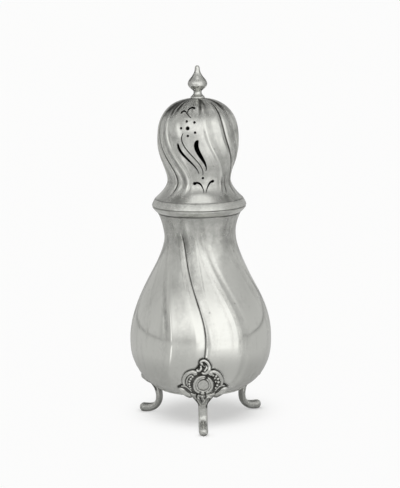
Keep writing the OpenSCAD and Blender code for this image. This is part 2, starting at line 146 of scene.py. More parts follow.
class CasterCover(bpy.types.PropertyGroup):
    """Sizes of the pierced dome"""
    skirt_z: length("Skirt level", "Height of the lower end of the dome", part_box("cover_dome")[0].z / MM)
    skirt_h: length("Skirt height", "From the lower end up to the waist", 10.2)
    skirt_r: length("Skirt radius", "Radius of the dome at its lower end", 24.5)
    skirt_exp: share("Skirt flare", "Exponent of the flare of the skirt", 1.7)
    waist_r: length("Waist radius", "Radius of the dome at its waist", 17.8)
    bulb_h: length("Bulb height", "From the waist up to the widest place", 23.1)
    bulb_full: share("Bulb fullness", "How far the bulb swells over an even curve", 0.33)
    bulb_r: length("Bulb radius", "Radius of the dome at its widest", 22.9)
    crown_h: length("Crown height", "From the widest place up to the seat of the finial", 22)
    crown_exp: share("Crown squareness", "Exponent of the curve of the crown", 2.4)
    seat_r: length("Seat radius", "Radius of the flat seat of the finial", 4.6)
    bore_r: length("Bore radius", "Radius of the hole for the shank", 1.6)
    sheet: length("Dome wall", "Thickness of the sheet of the dome", 0.8)
    slot_end: length("Slot end", "Half width of a slot at its ends", 0.15)
    cut_in: length("Cut inward", "How far a cutter reaches into the dome", 3.5)
    cut_out: length("Cut outward", "How far a cutter reaches out of the dome", 2)
    filed_in: share(
        "Filed inward", "How wide a cutter is at its inner end, to open the edges of the piercing", 0.85)
    filed_out: share("Filed outward", "How wide a cutter is at its outer end", 1.5)


class CasterFoot(bpy.types.PropertyGroup):
    """Sizes of a cast foot"""
    solder: length("Solder", "Gap between the body and a foot", 0.18)
    ground: length("Ground", "Thickness of the plate behind the ornament", 0.7)
    swell: length("Swell", "How much thicker the plate is where the leg starts", 3)
    boss: length("Boss", "How far the boss inside the round scroll stands up", 0.6)
    toe_reach: length("Toe reach", "From the axis to the middle of a toe", 37.3)
    toe_r: length("Toe radius", "Half thickness of a toe", 2.6)
    leg_w: length("Leg half width", "Half width of a leg", 2.55)
    leg_t: length("Leg half thickness", "Half thickness of a leg", 1.8)
    grain: length("Casting grain", "Fineness of the skin of the casting", 0.2)


class CasterFinish(bpy.types.PropertyGroup):
    """Colours and polish of the silver"""
    silver: colour("Silver", "Colour of the polished silver", (0.93, 0.935, 0.895))
    # the colour of the tarnish, which also paints the shade
    tarnish_and_shade: colour("Tarnish", "Colour of the dark in the recesses", (0.035, 0.035, 0.03))
    polish: share("Polish", "Roughness of the polished sheet", 0.12)
    cast: share("Casting polish", "Roughness of the cast pieces", 0.17)
    inside: share("Inside polish", "Roughness of the pieces inside", 0.34)


class CasterStage(bpy.types.PropertyGroup):
    """Camera and light"""
    distance: length("Camera distance", "From the axis to the camera along the floor", 954.7)
    height: length("Camera height", "Height of the camera over the floor", 264)
    turn: angle("Camera turn", "Place of the camera round the object", -2)
    pitch: angle("Camera pitch", "How far the camera looks down", 9.735)
    roll: angle("Camera roll", "How far the camera leans", 0.8)
    lens: number("Lens", "Focal length on a sensor of 36 mm", 127.7, unit="CAMERA")
    floor: colour("Floor", "Colour of the floor", (0.972, 0.972, 0.97))
    glow: share("Floor glow", "How much of the floor's white the shadow cannot darken", 0.42)
    clear: share("Clear floor", "The same away from the object", 0.95)


# nodes written as expressions

def both_ways(operation):
    """Methods that write an operator as a Math node, for a wire on its left and for one on its right."""
    def left(self, other):
        return self.board.maths(operation, self, other)

    def right(self, other):
        return self.board.maths(operation, other, self)
    return left, right


class Wire:
    """A node socket that Python's operators calculate with."""

    __add__, __radd__ = both_ways("ADD")
    __sub__, __rsub__ = both_ways("SUBTRACT")
    __mul__, __rmul__ = both_ways("MULTIPLY")
    __truediv__, __rtruediv__ = both_ways("DIVIDE")
    __pow__ = both_ways("POWER")[0]
    __lt__ = both_ways("LESS_THAN")[0]
    __gt__ = both_ways("GREATER_THAN")[0]

    def __init__(self, board, socket):
        self.board, self.socket = board, socket

    def __neg__(self):
        return self * -1.0

    def part(self, key):
        """Another output of the same node."""
        return Wire(self.board, self.socket.node.outputs[key])


class Board:
    """A node tree with one method that adds any node, and short forms of it for nodes that are used often."""

    def __init__(self, tree):
        self.tree = tree

    def add(self, kind, settings=None, sockets=None, out=0):
        """Adds a node; a list links several wires to one input."""
        node = self.tree.nodes.new(kind)
        for name, value in (settings or {}).items():
            setattr(node, name, value)
        for key, value in (sockets or {}).items():
            for one in value if isinstance(value, list) else [value]:
                if isinstance(one, Wire):
                    self.link(one, node, key)
                else:
                    node.inputs[key].default_value = one
        return Wire(self, node.outputs[out]) if node.outputs else None

    def link(self, wire, node, key):
        self.tree.links.new(wire.socket, node.inputs[key])

    def maths(self, operation, *values):
        return self.add("ShaderNodeMath", {"operation": operation}, dict(enumerate(values)))

    def blend(self, factor, one, two):
        """A colour between two."""
        colours = {6: (*one, 1), 7: (*two, 1)}
        return self.add("ShaderNodeMix", {"data_type": "RGBA"}, {0: factor, **colours}, out=2)

    def noise(self, vector, scale, detail, roughness=0.5):
        return self.add("ShaderNodeTexNoise", sockets={
            "Vector": vector, "Scale": scale, "Detail": detail, "Roughness": roughness})

    def stretched(self, vector, scale, rotation=(0, 0, 0)):
        return self.add("ShaderNodeMapping", sockets={"Vector": vector, "Rotation": rotation, "Scale": scale})

    def split(self, vector):
        """The X of a vector, whose parts Y and Z are its other outputs."""
        return self.add("ShaderNodeSeparateXYZ", sockets={0: vector})

    def kept(self, name, kind="FLOAT"):
        """A named attribute."""
        return self.add("GeometryNodeInputNamedAttribute", {"data_type": kind}, {"Name": name})

    def smoothed(self, geometry):
        return self.add("GeometryNodeSetShadeSmooth", sockets={"Geometry": geometry, "Shade Smooth": True})

    def merged(self, geometry):
        return self.add("GeometryNodeMergeByDistance", sockets={"Geometry": geometry, "Distance": MERGE})

    def set_round(self, geometry, r, turn, z):
        """Geometry with its points set to a radius, an angle and a height."""
        x, y = r * sine(turn), -(r * cosine(turn))
        spot = self.add("ShaderNodeCombineXYZ", sockets={"X": x, "Y": y, "Z": z})
        return self.add("GeometryNodeSetPosition", sockets={"Geometry": geometry, "Position": spot})


def either(operation, plain):
    """A function that adds a Math node where a value is a wire, and works out numbers itself."""
    def run(*values):
        boards = [v.board for v in values if isinstance(v, Wire)]
        return boards[0].maths(operation, *values) if boards else plain(*values)
    return run


sine = either("SINE", np.sin)
cosine = either("COSINE", np.cos)
arccosine = either("ARCCOSINE", np.arccos)
arcsine = either("ARCSINE", np.arcsin)
arctangent = either("ARCTAN2", np.arctan2)
least = either("MINIMUM", np.minimum)
most = either("MAXIMUM", np.maximum)
rounded_down = either("FLOOR", np.floor)
size_of = either("ABSOLUTE", np.abs)
plain_root = either("SQRT", np.sqrt)


def root(x):
    return plain_root(most(x, 0.0))


def bound(x):
    return most(least(x, 1.0), 0.0)


def smooth(x):
    t = bound(x)
    return t * t * (3 - 2 * t)


def fuller(t, k):
    return smooth(t + k * t * (1 - t))


def mix(a, b, t):
    return a + (b - a) * t


def pick(test, a, b):
    return b + (a - b) * test


def ramp_up(value, start, span):
    """0 up to a start, rising to 1 over a span."""
    return smooth((value - start) / span)


def ramp_down(value, end, span):
    """1 well before an end, falling to 0 there over a span."""
    return smooth((end - value) / span)


def close_to(distance, half, fade):
    """1 on a line, falling to 0 beside it."""
    return 1 - ramp_up(distance, half, fade)


def past(value, start, span):
    """A rising ramp in millimetres."""
    return ramp_up(value, start * MM, span * MM)


def short_of(value, end, span):
    """A falling ramp in millimetres."""
    return ramp_down(value, end * MM, span * MM)


def within(distance, half, fade):
    """The same as close_to, in millimetres."""
    return close_to(distance, half * MM, fade * MM)


def bezier(p, t):
    u = 1 - t
    return p[0] * u * u * u + 3 * p[1] * t * u * u + 3 * p[2] * t * t * u + p[3] * t * t * t


# shape of the sheets

def hollows(s, a, ridge, roll, fold, facet_d, groove_d):
    """Share of the radius that fold, facet, groove and panel take off at an angle from a crease."""
    off = size_of(a)
    near = bound((off - roll) / (ridge - roll))
    facet = facet_d * 4 * near * (1 - near)
    beside = bound((off - ridge) / s.groove_w)
    groove = groove_d * 16 * (beside * (1 - beside)) ** 2
    panel = s.panel_d * (1 - ((HALF_STEP - off) / (HALF_STEP - ridge)) ** 2)
    return pick(off < ridge, facet, panel + groove) + fold * most(1 - off / roll, 0.0) ** 2


def body_roll(s, z):
    """Angle from a crease of the body to the roll on its right at a height."""
    span, late = 0.85 * s.shoulder_h, 0.08
    return mix(s.roll_low, s.roll_high, smooth((z - s.base_z - s.turn_h) / span - late))


def body_hollows(s, a, z, fold):
    """The flutes of the body at an angle from a crease and a height."""
    ridge = pick(a > 0.0, s.ridge_right, s.ridge_left)
    roll = pick(a > 0.0, body_roll(s, z), s.roll_left)
    return body_depth(s, z) * hollows(s, a, ridge, roll, fold, s.facet_d, s.groove_d)


def cover_hollows(s, a, z):
    """The flutes of the dome at an angle from a crease and a height."""
    ridge = pick(a > 0.0, s.cover_right, s.cover_left)
    flutes = hollows(s, a, ridge, s.cover_roll, s.cover_fold, s.cover_facet, s.cover_groove)
    return cover_depth(s, z) * flutes


def body_outline(s, z):
    """Radius of the body at a height, before fluting."""
    belly_z = s.base_z + s.bowl_h
    neck_z = belly_z + s.shoulder_h
    drop = s.bowl_h / (1 - (s.base_r / s.belly_r) ** s.bowl_exp) ** (1 / s.bowl_exp)
    bowl = s.belly_r * (1 - bound((belly_z - z) / drop) ** s.bowl_exp) ** (1 / s.bowl_exp)
    shoulder = mix(s.neck_r, s.belly_r, fuller((neck_z - z) / s.shoulder_h, s.shoulder_full))
    flare = mix(s.neck_r, s.lip_r, ((z - neck_z) / s.flare_h) ** 2)
    return pick(z < belly_z, bowl, pick(z < neck_z, shoulder, flare))


def body_twist(s, z):
    """Angle of the creases of the body at a height."""
    rise = (z - s.base_z - s.turn_h) / (s.bowl_h + s.shoulder_h - s.turn_h)
    return s.body_turn - s.body_sweep * rise ** 2 * pick(rise > 0.0, 2 - rise, 1.0)


def body_depth(s, z):
    """How deep the flutes of the body are at a height: they start at the base and run out over the neck."""
    start_span, gain_span, end_span = 0.5 * s.bowl_h, 0.4 * s.shoulder_h, 0.15 * s.shoulder_h
    early, late = 1.2, 0.55
    neck_z = s.base_z + s.bowl_h + s.shoulder_h
    gain = 1 + s.neck_gain * smooth((z - neck_z) / gain_span + early)
    return gain * smooth((z - s.base_z) / start_span) * smooth((neck_z - z) / end_span + late)


def cover_outline(s, z):
    """Radius of the dome at a height, before fluting."""
    waist_z = s.skirt_z + s.skirt_h
    bulb_z = waist_z + s.bulb_h
    skirt = mix(s.waist_r, s.skirt_r, bound((waist_z - z) / s.skirt_h) ** s.skirt_exp)
    bulb = mix(s.waist_r, s.bulb_r, fuller((z - waist_z) / s.bulb_h, s.bulb_full))
    rise = bound((z - bulb_z) / crown_rise(s))
    crown = s.bulb_r * most(1 - rise ** s.crown_exp, 0.0) ** (1 / s.crown_exp)
    return pick(z < waist_z, skirt, pick(z < bulb_z, bulb, crown))


def crown_end(s):
    return arccosine((s.seat_r / s.bulb_r) ** (0.5 * s.crown_exp))


def crown_rise(s):
    return s.crown_h / sine(crown_end(s)) ** (2 / s.crown_exp)


def crown_top(s):
    return s.skirt_z + s.skirt_h + s.bulb_h + s.crown_h


def cover_twist(s, z):
    """Angle of the creases of the dome at a height."""
    bulb_bend, skirt_bend = 1.4, 1.5
    waist_z = s.skirt_z + s.skirt_h
    top = crown_top(s) - s.swirl_drop
    above = s.cover_sweep * smooth(bound((top - z) / (top - waist_z)) ** bulb_bend)
    below = s.cover_sweep - s.skirt_sweep * bound((waist_z - z) / s.skirt_h) ** skirt_bend
    return s.cover_turn + pick(z < waist_z, below, above)


def wander(s, turn):
    """How far a flute of the dome strays at an angle."""
    return s.wander * 0.5 * (1 - cosine(turn - s.wander_from))


def cover_depth(s, z):
    """How deep the flutes of the dome are at a height: they start on the skirt and run out at the crown."""
    start_span, end_span = 0.8 * s.skirt_h, 0.12 * s.crown_h
    return smooth((z - s.skirt_z) / start_span) * smooth((crown_top(s) - z) / end_span)


def from_crease(turn):
    """Angle from the nearest crease."""
    return turn - STEP * np.round(turn / STEP)


def cover_off(s, turn, z):
    """Angle from the nearest crease of the dome."""
    even = turn - wander(s, turn - wander(s, turn))
    return from_crease(even - cover_twist(s, z))


def body_skin(s, turn, z, fold):
    """Radius of the finished body at an angle and a height."""
    return body_outline(s, z) * (1 - body_hollows(s, from_crease(turn - body_twist(s, z)), z, fold))


def cover_skin(s, turn, z):
    """Radius of the finished dome at an angle and a height."""
    return cover_outline(s, z) * (1 - cover_hollows(s, cover_off(s, turn, z), z))


def polar(r, turn, z):
    return np.stack(np.broadcast_arrays(r * np.sin(turn), -r * np.cos(turn), z), -1)


# meshes

def plain_sizes(*groups):
    """The sizes of property groups as plain numbers."""
    found = [(group, p.identifier) for group in groups for p in group.bl_rna.properties if p.type == "FLOAT"]
    return SimpleNamespace(**{key: getattr(group, key) for group, key in found})


def shape_tree(name, *groups):
    """A geometry tree with the sizes of groups as inputs: its board, sizes, geometry and input values."""
    tree = bpy.data.node_groups.new(name, "GeometryNodeTree")
    for way in ("OUTPUT", "INPUT"):
        tree.interface.new_socket("Geometry", in_out=way, socket_type="NodeSocketGeometry")
    keys, values = {}, {}
    for group in groups:
        for prop in group.bl_rna.properties:
            if prop.type == "FLOAT" and not prop.array_length:
                socket = tree.interface.new_socket(prop.name, in_out="INPUT", socket_type="NodeSocketFloat")
                keys[socket.identifier] = prop.identifier
                values[socket.identifier] = getattr(group, prop.identifier)
    board = Board(tree)
    source = tree.nodes.new("NodeGroupInput")
    sizes = SimpleNamespace(**{
        keys[o.identifier]: Wire(board, o) for o in source.outputs if o.identifier in keys})
    return board, sizes, Wire(board, source.outputs["Geometry"]), values


def close_tree(board, geometry, material):
    """Ends a tree with real geometry in its material."""
    real = board.add("GeometryNodeRealizeInstances", sockets={"Geometry": geometry})
    done = board.add("GeometryNodeSetMaterial", sockets={"Geometry": real, "Material": material})
    board.add("NodeGroupOutput", sockets={"Geometry": done})


def new_object(name, mesh):
    obj = bpy.data.objects.new(name, mesh)
    bpy.context.scene.collection.objects.link(obj)
    return obj


def grow(obj, board, values):
    """Runs a geometry tree on an object and keeps the result as its plain mesh."""
    modifier = obj.modifiers.new(board.tree.name, "NODES")
    modifier.node_group = board.tree
    for identifier, value in values.items():
        modifier[identifier] = value
    settle(obj)


def settle(obj):
    """Keeps what the modifiers of an object make as its plain mesh."""
    bpy.context.view_layer.update()
    ready = obj.evaluated_get(bpy.context.evaluated_depsgraph_get())
    mesh = bpy.data.meshes.new_from_object(ready)
    obj.modifiers.clear()
    start = obj.data
    obj.data = mesh
    bpy.data.meshes.remove(start)
    mesh.name = obj.name
    if not mesh.polygons:
        raise RuntimeError(f"{obj.name} came out empty")


def read(items, key, width=1, kind=np.float32):
    """The values of mesh elements, in rows where each has more than one number."""
    values = np.empty(width * len(items), kind)
    items.foreach_get(key, values)
    return values.reshape(-1, width) if width > 1 else values


def places(mesh):
    return read(mesh.vertices, "co", 3).astype(float)


def cylindrical(co):
    """Angle, distance from the axis and height of places."""
    return np.arctan2(co[:, 0], -co[:, 1]), np.hypot(co[:, 0], co[:, 1]), co[:, 2]


def keep(mesh, key, values, kind="FLOAT", field="value"):
    """Keeps a value of each point as a named attribute."""
    layer = mesh.attributes.get(key) or mesh.attributes.new(key, kind, "POINT")
    layer.data.foreach_set(field, np.asarray(values, np.float32).ravel())


def stain_and_shade(mesh, values):
    """Keeps how tarnished each point is, together with the painted shade and highlights."""
    keep(mesh, "patina", np.clip(values, 0, 1))


def streaks(turn, seed, count):
    """Uneven wear round a piece, with straight lines between a number of seeded values."""
    wear = np.random.default_rng(seed).random(count + 1)
    wear[-1] = wear[0]
    return np.interp(np.degrees(turn) % 360, np.linspace(0, 360, count + 1), wear)


def hand_over(obj, body, slot, *nodes):
    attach(obj, body)
    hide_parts(*nodes)


def from_points(name, points, faces, material=None):
    mesh = bpy.data.meshes.new(name)
    mesh.from_pydata([tuple(p) for p in points], [], faces)
    mesh.update()
    mesh.shade_smooth()
    if material:
        mesh.materials.append(material)
    return mesh


def rings(points, closed=True, caps=False):
    """Faces over rows of points, each row a closed or open ring."""
    rows, columns = points.shape[:2]
    faces = []
    for i in range(rows - 1):
        for j in range(columns if closed else columns - 1):
            here, after = i * columns + j, i * columns + (j + 1) % columns
            faces.append((here, after, after + columns, here + columns))
    if caps:
        faces += [tuple(range(columns))[::-1], tuple((rows - 1) * columns + j for j in range(columns))]
    return points.reshape(-1, 3), faces


def eased(outline, radius):
    """A closed outline with its corners rounded."""
    gentle, most_of_side, steps = 0.5, 0.4, np.linspace(0, 1, 5)
    points = [np.array(p, float) for p in outline]
    result = []
    for before, here, after in zip(points[-1:] + points[:-1], points, points[1:] + points[:1]):
        a, b = before - here, after - here
        la, lb = np.linalg.norm(a), np.linalg.norm(b)
        bend = np.arccos(np.clip(-(a @ b) / (la * lb), -1, 1))
        if bend < gentle or here[0] == 0:
            result.append(here)
            continue
        reach = min(radius, most_of_side * la, most_of_side * lb)
        start, end = here + a / la * reach, here + b / lb * reach
        result += [(1 - t) ** 2 * start + 2 * t * (1 - t) * here + t * t * end for t in steps]
    return result


def curve(path):
    """Shares of the length and points at even steps on a smooth curve through a path."""
    p = np.array(path, float)
    p = np.concatenate([[2 * p[0] - p[1]], p, [2 * p[-1] - p[-2]]])
    t = np.linspace(0, len(path) - 1 - 1e-9, 10 * len(path))
    i, f = t.astype(int), (t % 1)[:, None]
    a, b, c, d = p[i], p[i + 1], p[i + 2], p[i + 3]
    bent = (2 * a - 5 * b + 4 * c - d) * f ** 2 + (3 * b - a - 3 * c + d) * f ** 3
    return t / t[-1], 0.5 * (2 * b + (c - a) * f + bent)


def tapered(half, ends, rise):
    """Half widths along a stroke that swells from its ends."""
    return half * MM * (ends + (1 - ends) * np.sqrt(np.clip(rise, 0, 1)))


def lathe(name, outline, material, segments=256):
    """A turned piece from its closed outline of radius and height."""
    turns = np.linspace(0, 2 * math.pi, segments, endpoint=False)
    points = np.array([polar(r, turns, z) for r, z in list(outline) + [outline[0]]])
    mesh = from_points(name, *rings(points), material)
    shape = bmesh.new()
    shape.from_mesh(mesh)
    bmesh.ops.remove_doubles(shape, verts=shape.verts, dist=MERGE)
    bmesh.ops.dissolve_degenerate(shape, edges=shape.edges, dist=0.1 * MERGE)
    bmesh.ops.recalc_face_normals(shape, faces=shape.faces)
    shape.to_mesh(mesh)
    shape.free()
    mesh.set_sharp_from_angle(angle=SHARP)
    return new_object(name, mesh)


def fluted_sheet(board, columns, rows, profile, thickness, stray):
    """A closed sheet of a profile of radius, height and turn, with its columns crowded at the creases."""
    crowd = 0.3
    grid = board.add("GeometryNodeMeshGrid", sockets={
        "Size X": 1.0, "Size Y": 1.0, "Vertices X": FLUTES * columns + 1, "Vertices Y": rows + 1})
    spot = board.split(board.add("GeometryNodeInputPosition"))
    run = (spot + 0.5) * FLUTES
    flute = rounded_down(run)
    w = 2 * (run - flute) - 1
    a = HALF_STEP * (crowd * w + (1 - crowd) * w * w * w)
    r, z, turn = profile(spot.part("Y") + 0.5, a)
    outer = board.merged(board.set_round(grid, r, stray(flute * STEP + a + turn), z))
    inner = board.add("GeometryNodeExtrudeMesh", {"mode": "FACES"}, {
        "Mesh": outer, "Offset Scale": -thickness, "Individual": False})
    turned = board.add("GeometryNodeFlipFaces", sockets={"Mesh": inner})
    both = board.add("GeometryNodeJoinGeometry", sockets={"Geometry": [outer, turned]})
    return board.smoothed(board.merged(both))


# finishes

def new_material(name):
    """A material with its board, its shader and its end."""
    material = bpy.data.materials.new(name)
    material.use_nodes = True
    nodes = material.node_tree.nodes
    return material, Board(material.node_tree), nodes["Principled BSDF"], nodes["Material Output"]


def silver(name, finish, roughness, wear):
    """Aged silver: tarnish in the recesses together with the painted light and shade kept with it, a little
    unevenness of polish, and fine scratches.
    """
    found = bpy.data.materials.get(name)
    if found:
        return found
    material, board, shader, _ = new_material(name)
    place = board.add("ShaderNodeTexCoord", out="Object")
    patina = board.add("ShaderNodeAttribute", {"attribute_name": "patina"}, out="Fac")
    cloud = board.noise(place, 45, 5, 0.6)
    speck = board.noise(place, 900, 3)
    hair = board.noise(board.stretched(place, (3500, 160, 700), (0.4, 0.2, 0.7)), 1, 2)
    smear = board.noise(board.stretched(place, (260, 260, 40)), 1, 4)
    grain = board.noise(place, 620, 4, 0.65)
    pits = board.noise(place, 330, 1)
    mottle = board.noise(place, 240, 6, 0.7)
    swell = board.noise(place, 38, 1)
    # the tarnish and the painted light and shade, mottled
    aged = patina + 2.6 * (mottle - 0.5) * patina * (1 - patina)
    uneven = cloud - 0.5 + 1.1 * (smear - 0.5) + 0.8 * (grain - 0.5)
    dull = bound(aged + wear * uneven + 0.25 * ramp_up(pits, 0.75, 0.05))
    height = swell * 0.25 + speck * 0.012 + hair * 0.012
    bump = board.add("ShaderNodeBump", sockets={"Strength": 0.35, "Distance": 0.4 * MM, "Height": height})
    looks = {
        "Base Color": board.blend(dull, finish.silver, finish.tarnish_and_shade),
        "Roughness": roughness + 0.12 * (cloud - 0.5) + 0.08 * (hair - 0.5) + 0.3 * patina,
        "Metallic": 1 - 0.5 * patina,
        "Normal": bump}
    for key, value in looks.items():
        board.link(value, shader, key)
    return material


def finishes():
    finish = bpy.context.scene.caster_finish
    return SimpleNamespace(
        sheet=silver("aged_sheet", finish, finish.polish, 0.26),
        wire=silver("aged_wire", finish, finish.polish, 0.25),
        cast=silver("aged_casting", finish, finish.cast, 0.34),
        inside=silver("aged_inside", finish, finish.inside, 0.4))


# pieces

class CASTER_OT_feet(bpy.types.Operator):
    """Casts the three feet, each with its toe, leg and rocaille cartouche"""
    bl_idname = "caster.feet"
    bl_label = "Feet"

    # edge of the plate behind the ornament: height, left end, right end, in millimetres
    EDGE = [
        (20.3, -7.4, 7.6), (21.2, -9, 9.3), (22.4, -10.6, 11), (23.8, -11.9, 12.3), (25.2, -12.7, 13.1),
        (26.4, -13, 13.4), (27.2, -12.2, 12.5), (28.2, -10.9, 11.1), (29.5, -11.1, 11.2),
        (32.4, -10.9, 10.8), (34, -10.2, 10.1), (35.6, -9, 8.9), (36.6, -7.4, 7.4), (37.3, -5, 5),
        (37.8, -3.6, 4), (39.5, -2.4, 4.3), (41, -1.8, 3.9), (42.3, -1.2, 2.8), (43.1, -0.2, 1.6)]
    # scrolls: half width in the middle, then places across and up the body
    SCROLLS = [
        (0.95, [(-9.6, 27.6), (-10.3, 30), (-10.1, 32.2), (-8.8, 34.8), (-6.5, 36.3), (-4.7, 36.5),
            (-3.7, 35.6), (-4.3, 34.9)]),
        (0.95, [(10, 27.6), (10.4, 30), (9.8, 32.6), (8.4, 34.9), (6.3, 36.3), (4.6, 36.2), (3.8, 35.3),
            (4.6, 34.7)]),
        (0.42, [(-8, 27.9), (-8.5, 30), (-8.3, 32), (-7.1, 33.8), (-5.6, 34.5)]),
        (0.85, [(-0.4, 41), (-1.1, 41.6), (-0.6, 42.5), (0.8, 42.9), (2.4, 41.9), (3.5, 39.9), (3.5, 37.8),
            (2.4, 36.1), (0.9, 35.5), (-0.6, 36)]),
        (0.6, [(-3.1, 38.1), (-2.8, 37.1), (-1.8, 37.1), (-0.9, 38.2), (-1, 39.4)]),
        (0.55, [(0.5, 41.4), (0.1, 40.4), (0.9, 39.6), (1.9, 39.8), (2.1, 38.6), (1.1, 37.3)]),
        (0.45, [(-11.7, 27), (-10.4, 27.4), (-8.9, 27.2), (-7.2, 25.9), (-5.6, 23.9)]),
        (0.45, [(12.2, 26.6), (10.8, 27.2), (9.3, 27), (7.6, 25.7), (5.9, 23.7)])]
    # the two leaves under the scrolls, in the same way
    LEAVES = [
        (2.3, [(-12.6, 26.2), (-11, 24.7), (-9.1, 23), (-6.9, 21.6), (-4.7, 20.4)]),
        (2.3, [(13, 26), (11.3, 24.5), (9.4, 22.8), (7.1, 21.4), (4.8, 20.4)])]
    # curls where the leg starts: half width, then places across and along the leg
    # as shares of its half width and length
    CURLS = [
        (0.7, [(-0.1, 0.19), (-0.2, 0.13), (-0.34, 0.07), (-0.5, 0.06), (-0.62, 0.09), (-0.58, 0.12),
            (-0.44, 0.115)]),
        (0.7, [(0.12, 0.19), (0.2, 0.12), (0.32, 0.06), (0.5, 0.045), (0.66, 0.07), (0.64, 0.11),
            (0.5, 0.11)]),
        (0.85, [(-0.06, 0), (-0.05, 0.03), (-0.02, 0.07), (0, 0.12)])]
    # dark cuts between the curls: places across and up the front of the leg, in millimetres
    CUTS = [
        [(-2.3, 22.9), (-3.5, 21.7), (-3.3, 20.3)],
        [(-1.7, 20.5), (-1.1, 19.1), (-0.5, 17.5)],
        [(0.9, 22.2), (1.7, 21.1), (1.1, 19.6)],
        [(4, 19.4), (2.7, 16.5), (2.1, 13.8)],
        [(-3.7, 18.8), (-2.9, 16.8), (-2.4, 15.2)],
        [(-1.5, 23.7), (-1.7, 22.9), (-1.5, 22.2)],
        [(1.2, 23.5), (1.5, 22.9), (1.4, 22.3)]]
    # the feet: name, node, place in thirds of a turn, and degrees that it is soldered off that place
    FEET = [
        ("foot_front", "front_foot", 0, -1),
        ("foot_right", "right_foot", 1, 0),
        ("foot_left", "left_foot", -1, 1.5)]
    # beads: half width, place across and up
    BEADS = [
        (0.55, -5.4, 33.5), (0.6, -6.4, 32.2), (0.65, -7, 30.7), (0.65, -7.1, 29.1), (0.6, -6.8, 27.5),
        (0.5, -6.2, 26.1), (0.6, 5.6, 34.1), (0.7, 7.2, 33.4), (0.75, 8.2, 31.7), (0.75, 8.3, 29.7),
        (0.7, 7.6, 27.8), (0.6, 6.6, 26.2), (0.5, 6.5, 32.1), (0.5, 6.9, 30.2), (0.95, -4.2, 35.4),
        (0.95, 4.4, 35), (0.8, -0.5, 41), (0.7, -1, 39.5), (0.6, 1.1, 37.2), (1, -0.1, 23.4)]
    # the round scroll: its middle, its gap in degrees, half width and half sizes of each ring,
    # and the radius of the boss inside
    MIDDLE = (0.2, 28.5)
    GAP = (58, 76)
    RINGS = [(0.72, 4.6, 5.2), (0.36, 3.45, 4)]
    BOSS = 3.6
    # ribs down the leg: place across, start and end as shares, and half width
    RIBS = [(0, 0.1, 0.42, 0.6), (-0.62, 0.1, 0.3, 0.5), (0.62, 0.1, 0.3, 0.5)]
    # rounds of softening that tell a recess from its surroundings
    ROUNDS = 14

    def execute(self, context):
        scene = context.scene
        self.s = plain_sizes(scene.caster_body, scene.caster_flutes, scene.caster_foot)
        casting = self.casting(finishes().cast)
        stains_and_shade = self.recesses_and_shade(casting.data)
        for name, node, turn, aside in self.FEET:
            mesh = casting.data.copy()
            mesh.name = name
            mesh.transform(Matrix.Rotation(turn * STEP + math.radians(aside), 4, "Z"))
            stain_and_shade(mesh, stains_and_shade)
            hand_over(new_object(name, mesh), "vessel", "silver_cast", node)
        bpy.data.objects.remove(casting)
        return {"FINISHED"}

    def lift(self, u, z):
        """How far the ornament stands off the body; its top is sunk, to stay in the box of the solids."""
        sunk = 0.88 * MM * past(z, 37, 3)
        swell = self.s.swell * short_of(z, 35, 13) * np.exp(-(u / (9 * MM)) ** 2)
        return self.s.ground - sunk + swell

    def boss(self, u, z):
        """How far the boss inside the round scroll stands off the plate."""
        over, up = u - self.MIDDLE[0] * MM, z - self.MIDDLE[1] * MM
        return self.s.boss * np.maximum(1 - (over ** 2 + up ** 2) / (self.BOSS * MM) ** 2, 0)

    def on_body(self, u, z, lift):
        """A place on the front of the body, given across and up."""
        s = self.s
        turn = u / body_outline(s, z)
        return polar(body_skin(s, turn, z, 0) + s.solder + lift, turn, z)

    def plate(self):
        """The plate behind the ornament, front and back in one ring."""
        rows, columns = 90, 41
        levels, left, right = (np.array(self.EDGE) * MM).T
        z = np.linspace(levels[0], levels[-1], rows)
        left, right = np.interp(z, levels, left), np.interp(z, levels, right)
        u = left[:, None] + (right - left)[:, None] * np.linspace(0, 1, columns)
        z = np.repeat(z[:, None], columns, 1)
        front, back = self.on_body(u, z, self.lift(u, z) + self.boss(u, z)), self.on_body(u, z, 0)
        return rings(np.concatenate([front, back[:, ::-1]], 1), caps=True)

    def leg_line(self, t):
        """Middle, run and half sizes of the leg along its length, in radius and height."""
        s = self.s
        top, sunk, step = 22.9 * MM, 0.25 * MM, 0.01
        toe_z = s.toe_r - sunk
        start = float(body_skin(s, 0.0, top, 0)) + s.solder + s.leg_t
        path = np.array([(start, top), (25.7 * MM, 12.3 * MM), (24.1 * MM, toe_z), (s.toe_reach, toe_z)])
        t = np.asarray(t, float)
        middle = bezier(path, t[..., None])
        run = bezier(path, t[..., None] + step) - bezier(path, t[..., None] - step)
        run /= np.linalg.norm(run, axis=-1, keepdims=True)
        grown = ramp_up(t, 0.62, 0.38)
        wide = mix(s.leg_w * mix(2.6, 1, ramp_up(t, 0.02, 0.25)), s.toe_r, grown)
        thick = mix(mix(1.15, 1, smooth(t / 0.5)) * s.leg_t, s.toe_r, grown)
        return middle, run, wide, thick

    @staticmethod
    def off_leg(middle, run, over, high):
        """Places off the middle of the leg, over to the side and high to its front."""
        flat = middle + np.stack([-run[..., 1], run[..., 0]], -1) * high[..., None]
        return np.stack([over, -flat[..., 0], flat[..., 1]], -1)

    def on_leg(self, t, side, rise):
        """Places on the front of the leg."""
        middle, run, wide, thick = self.leg_line(t)
        high = thick * np.sqrt(np.maximum(1 - np.asarray(side) ** 2, 0)) + rise
        return self.off_leg(middle, run, wide * side, high)

